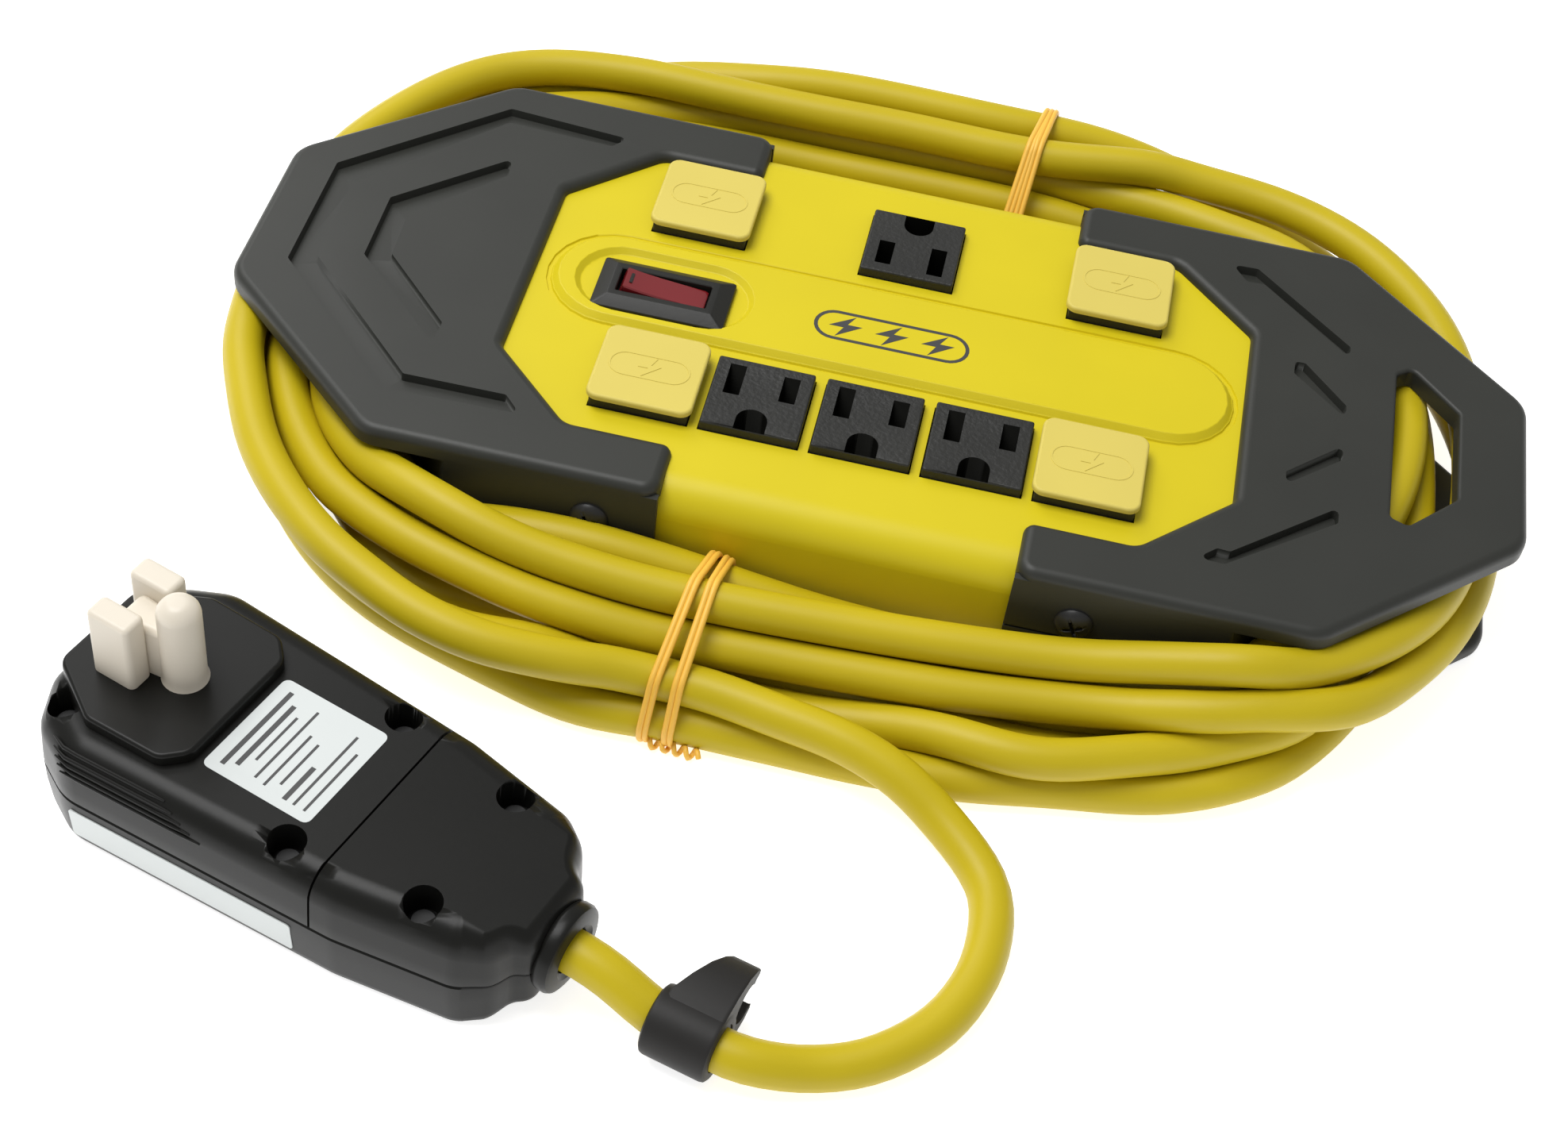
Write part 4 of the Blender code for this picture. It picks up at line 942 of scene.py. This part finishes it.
def cord_clip():
    """Sleeve on the cord with an open hook beside it that snaps over another strand."""
    profile = ((-7.3, 5.2), (-7.3, 6.7), (-6.9, 7.3), (-6.2, 7.5), (6.2, 7.5), (6.9, 7.3), (7.3, 6.7),
               (7.3, 5.2))
    rings = [[clip_point(a, b, w) for a, b in circle(0.0, 0.0, r, 40)] for w, r in profile]
    sleeve = solid("clip_sleeve", skin(rings, closed=True), CLIP_BLACK, stands_for=("cord_clip",))
    section = [(-1.0, 6.9), (3.0, 7.9), (8.0, 8.3), (12.5, 7.7), (16.0, 6.0), (17.6, 4.4), (17.3, 3.5),
               (15.8, 3.2)]
    section += [polar(11.6, -0.2, 4.6, 38.0 + 250.0 * i / 12.0) for i in range(13)]
    section += [(14.6, -4.4), (14.4, -5.6), (12.0, -6.6), (7.0, -6.7), (2.0, -6.6)]
    near = -7.0
    rings = []
    for share, inset in ((0.0, 0.35), (0.06, 0.0), (0.94, 0.0), (1.0, 0.35)):
        ring = []
        for n, z in section:
            # The hook narrows towards its tip.
            far = 5.6 - max(n - 3.0, 0.0) * 0.42
            ring.append(clip_point(n, z - (inset if z > 0 else -inset), near + (far - near) * share))
        rings.append(ring)
    hook = solid("clip_hook", skin(rings), CLIP_BLACK, stands_for=("cord_clip",))
    return [sleeve, hook]


# ---- plug ----

PLUG_SEAM = 14.0
PLUG_TOP = 29.0
PAD_TOP = 32.0
COVER_SEAM = -19.0
PLUG_CORNERS = (
    (-94.0, 12.0), (-94.0, -12.0), (-88.5, -22.5), (-78.0, -27.9), (-14.0, -24.6), (12.0, -20.2),
    (18.0, -15.8), (19.8, -11.0), (23.2, -9.4), (23.2, 9.4), (19.8, 11.0), (18.0, 15.8), (12.0, 20.2),
    (-14.0, 24.6), (-78.0, 27.9), (-88.5, 22.5),
)
PLUG_RADII = (9.0, 9.0, 9.0, 12.0, 20.0, 8.0, 6.0, 3.0, 3.8, 3.8, 3.0, 6.0, 8.0, 20.0, 12.0, 9.0)
PLUG_ROUND = 6.5
UPPER_INSET = 0.4
TOP_SCREWS = ((-85.0, -16.8), (-28.2, 18.6), (-28.2, -18.8))
COVER_SCREWS = ((1.6, 15.2), (1.6, -15.4))


def set_down(bm):
    """Move a mesh drawn in plug coordinates to the plug's place."""
    turned = Matrix.Rotation(PLUG_YAW, 4, "Z")
    bmesh.ops.transform(bm, matrix=Matrix.Translation((PLUG_X, PLUG_Y, 0.0)) @ turned, verts=bm.verts)


def plug_solid(name, bm, mat, node=None, body="strip", angle=35.0):
    set_down(bm)
    return solid(name, bm, mat, body=body, stands_for=(node,) if node else (), angle=angle)


def plug_carve(item, bm, operation="DIFFERENCE"):
    set_down(bm)
    return carve(item, bm, operation)


def cut_off(outline, seam, keep):
    """Part of an outline on one side of the line u = seam; keep is -1 for less, +1 for more."""
    kept = []
    for a, b in zip(outline, outline[1:] + outline[:1]):
        if (a[0] - seam) * keep >= 0.0:
            kept.append(a)
        if (a[0] - seam) * (b[0] - seam) < 0.0:
            share = (seam - a[0]) / (b[0] - a[0])
            kept.append((seam, a[1] + (b[1] - a[1]) * share))
    return kept


def divided(outline, longest):
    """Outline with its long sides split, so that none is longer than the given length."""
    points = []
    for a, b in zip(outline, outline[1:] + outline[:1]):
        parts = max(1, math.ceil(math.dist(a, b) / longest))
        points += [(a[0] + (b[0] - a[0]) * k / parts, a[1] + (b[1] - a[1]) * k / parts) for k in range(parts)]
    return points


def plug_rings(levels, seam=None, keep=0):
    whole = divided(fillet(PLUG_CORNERS, list(PLUG_RADII), 5), 4.0)
    rings = []
    for inset, z in levels:
        # The narrow neck rounds over half as much as the body.
        shape = []
        for (u, v), (du, dv) in zip(whole, drawn_in(whole, inset)):
            share = min(1.0, max(0.5, (21.5 - u) / 9.0))
            shape.append((u + (du - u) * share, v + (dv - v) * share))
        if seam is not None:
            shape = cut_off(shape, seam, keep)
        rings.append([(u, v, neck_height(u, z)) for u, v in shape])
    return rings


def neck_height(u, z):
    """Height of a point of the plug's skin, drawn towards the cord's axis along the neck."""
    along = min(1.0, max(0.0, (u - 12.0) / 11.0))
    drop = 0.3 * along * along * (3.0 - 2.0 * along)
    away = abs(z - PLUG_SEAM)
    if away < 1.0:
        return z
    return z + (CORD_AXIS_Z - z) * drop * (away - 1.0) / away


def upper_levels():
    """Inset and height of the upper shell's rings, with its top edge rounded."""
    levels = [(0.35, PLUG_SEAM + 0.15), (0.0, PLUG_SEAM + 0.6), (0.15, 18.0)]
    for i in range(8):
        a = math.radians(90.0 * i / 7)
        levels.append((UPPER_INSET + PLUG_ROUND * (1.0 - math.cos(a)),
                       PLUG_TOP - PLUG_ROUND + PLUG_ROUND * math.sin(a)))
    return levels


def plug_side(z):
    """How far the upper shell's side is drawn in at height z."""
    rise = max(0.0, z - (PLUG_TOP - PLUG_ROUND))
    return UPPER_INSET + PLUG_ROUND - math.sqrt(PLUG_ROUND ** 2 - rise ** 2)


def plug_half_width(u):
    """Half width of the plug along its straight, slightly tapering sides."""
    return 27.9 - (u + 78.0) * 3.3 / 64.0


def wells(places):
    """Round pockets in which the plug's screws sit."""
    bm = bmesh.new()
    for u, v in places:
        loft(bm, [flat(circle(u, v, 3.9), z) for z in (21.0, 40.0)])
    return bm


def plug_shells():
    """Lower shell, upper shell with its raised pad, and the cover over the cord's terminals."""
    lower = ((2.6, 0.0), (1.4, 0.4), (0.7, 1.3), (0.5, 2.6), (0.0, 9.0), (0.0, PLUG_SEAM - 0.4),
             (0.35, PLUG_SEAM))
    bottom = plug_solid("plug_bottom", skin(plug_rings(lower)), PLUG, "plug_lower_shell")
    gap = 0.25
    rings = plug_rings(upper_levels(), COVER_SEAM - gap, -1)
    upper = plug_solid("plug_top", skin(rings), PLUG, "plug_upper_shell")
    plug_carve(upper, wells(TOP_SCREWS))
    pad = fillet(((-91.5, 12.0), (-91.5, -11.0), (-77.5, -19.6), (-59.5, -19.2), (-55.0, -14.5),
                  (-55.0, 14.5), (-59.5, 19.2), (-77.5, 19.6)), 4.0, 5)
    raised = plug_solid("plug_pad", skin(soft_block(pad, 24.0, PAD_TOP, top=0.9)), PLUG, "plug_upper_shell")
    rings = plug_rings(upper_levels(), COVER_SEAM + gap, 1)
    cover = plug_solid("plug_end_cover", skin(rings), PLUG, "plug_terminal_cover")
    plug_carve(cover, wells(COVER_SCREWS))
    return [bottom, upper, raised, cover]


def plug_screws():
    head = ((3.0, 20.5), (3.0, 22.2), (2.4, 22.9))
    bm = bmesh.new()
    for u, v in TOP_SCREWS + COVER_SCREWS:
        loft(bm, [flat(circle(u, v, r), z) for r, z in head])
    return plug_solid("plug_screws", bm, SCREW)


def plug_ridges():
    """Five grip ridges on the front side; the lower ones are longer and reach nearer to the cord."""
    bm = bmesh.new()
    for k in range(5):
        z = 27.4 - 1.2 * k
        inset = plug_side(z) - 0.05
        start = -82.0 + 1.0 * k
        end = -54.0 + 2.4 * k
        rings = []
        for i in range(9):
            u = start + (end - start) * i / 8
            v = -(plug_half_width(u) - inset)
            # Past here the side turns in towards the plug's blade end.
            if u < -78.0:
                v += (-78.0 - u) * 0.42
            size = 0.45 if 0 < i < 8 else 0.2
            rings.append([(u, v + a, z + b) for a, b in circle(0.0, 0.0, size, 10)])
        loft(bm, rings)
    return plug_solid("plug_ridges", bm, PLUG)


def plug_labels():
    """Blank labels with thin rules on the top and the front side."""
    z = PLUG_TOP
    top = fillet(rectangle(-40.4, -0.4, 13.0, 13.4), 1.5, 4)
    sheet = skin([level(top, 0.0, z - 0.05), level(top, 0.0, z + 0.08)])
    labels = [plug_solid("plug_label_top", sheet, LABEL)]
    bm = bmesh.new()
    for k, (low, high) in enumerate(((-11.5, 10.5), (-10.0, 8.0), (-7.0, 6.0), (-10.5, 9.5), (-11.0, 4.0),
                                     (-9.0, 3.0), (-11.5, -2.0), (-11.5, 9.0), (-11.5, 5.5))):
        u = -50.6 + 2.55 * k
        width = 1.1 if k in (0, 1, 6) else 0.6
        box(bm, u, u + width, low, high, z + 0.05, z + 0.12)
    labels.append(plug_solid("plug_label_rules", bm, INK))
    face = fillet(rectangle(-50.25, 7.1, 26.75, 4.3), 0.8, 4)
    back = []
    front = []
    for u, h in face:
        v = -(plug_half_width(u) - 0.5 * (9.0 - min(h, 9.0)) / 6.4)
        back.append((u, v + 0.3, h))
        front.append((u, v - 0.22, h))
    labels.append(plug_solid("plug_label_side", skin([back, front]), LABEL))
    return labels


def blade_guard():
    """Two square stalls and a round sleeve joined by a web, drawn solid round the blades and pin."""
    low = PAD_TOP + 0.05
    radius = 4.5
    shoulder = 19.0
    rings = [(4.9, 0.0), (4.7, 0.6), (radius, 2.0), (radius, shoulder)]
    for a in (18.0, 36.0, 54.0, 72.0):
        rings.append((radius * math.cos(math.radians(a)), shoulder + 3.6 * math.sin(math.radians(a))))
    bm = skin([flat(circle(-68.4, 0.0, r), low + z) for r, z in rings])
    for v in (-6.35, 6.35):
        stall = fillet(rectangle(-79.2, v, 5.2, 2.9), 1.3, 4)
        loft(bm, soft_block(stall, low, low + 17.6, top=1.1))
    web = fillet(((-81.5, -4.5), (-70.5, -3.0), (-70.5, 3.0), (-81.5, 4.5)), 1.8, 4)
    loft(bm, soft_block(web, low, low + 13.5, top=1.6))
    return plug_solid("guard", bm, IVORY, "blade_guard", body="guard")


def plug_collar():
    """Ring round the cord where it enters the plug's neck."""
    profile = ((22.4, 5.0), (22.4, 8.8), (22.9, 9.5), (23.6, 9.8), (25.2, 9.8), (26.0, 9.4), (26.4, 8.6),
               (26.7, 6.2), (26.0, 5.0))
    rings = [[(u, a, b) for a, b in circle(0.0, CORD_AXIS_Z, r, 40)] for u, r in profile]
    return plug_solid("plug_collar", skin(rings, closed=True), PLUG, "plug_grommet")


def paint(name, mat):
    """Give a solid of the frame its finish."""
    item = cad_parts[name]
    item.data.materials.clear()
    item.data.materials.append(mat)
    return item


# ---- build ----

def build():
    make_camera()
    make_studio()
    housing()
    printed_mark()
    for side, word in ((-1, "left"), (1, "right")):
        end_cap(f"end_cap_{word}", side)
        lower_flange(f"lower_flange_{word}", side)
        side_screw(f"side_screw_front_{word}", side * 54.4, -1)
        side_screw(f"side_screw_rear_{word}", side * 54.4, 1)
    for place in outlet_places():
        outlet(*place)
    for row, y, turn in (("front", ROW_FRONT_Y, 1), ("rear", ROW_REAR_Y, -1)):
        for word, side in (("left", -1), ("right", 1)):
            outlet_cap(f"outlet_cap_{row}_{word}", OUTLET_SHIFT + side * 2 * PITCH, y, turn)
    switch_surround()
    rocker()
    clip = cord_clip()
    shells = plug_shells() + [plug_screws(), plug_ridges()]
    labels = plug_labels()
    guard = blade_guard()
    collar = plug_collar()
    inner = [paint(node, BRASS) for node in ("blade_neutral", "blade_line", "ground_pin")]
    buttons = [paint("test_button", SWITCH), paint("reset_button", RED)]
    inner.append(paint("circuit_board", BOARD))
    inner.append(paint("sensing_coil", COPPER))
    for label in ("neutral", "line", "ground"):
        for row in ("front", "rear"):
            paint(f"bus_{label}_{row}", BRASS)
    for node, mat, colour in (("line", WIRE_BLACK, "black"), ("neutral", WIRE_WHITE, "white"),
                              ("ground", WIRE_GREEN, "green")):
        paint(f"wire_{node}", mat)
    paint("cord_gland", BLACK)
    paint("switch_body", SWITCH)
    route = cord_route()
    make_cord(route)
    rubber_band("front_band", "band_front", route, -1, ((-25.0, -31.5), (-22.0, -26.0)))
    rubber_band("rear_band", "band_rear", route, 1, ((19.5, 26.5), (22.5, 27.5)))
    band_knot()


build()
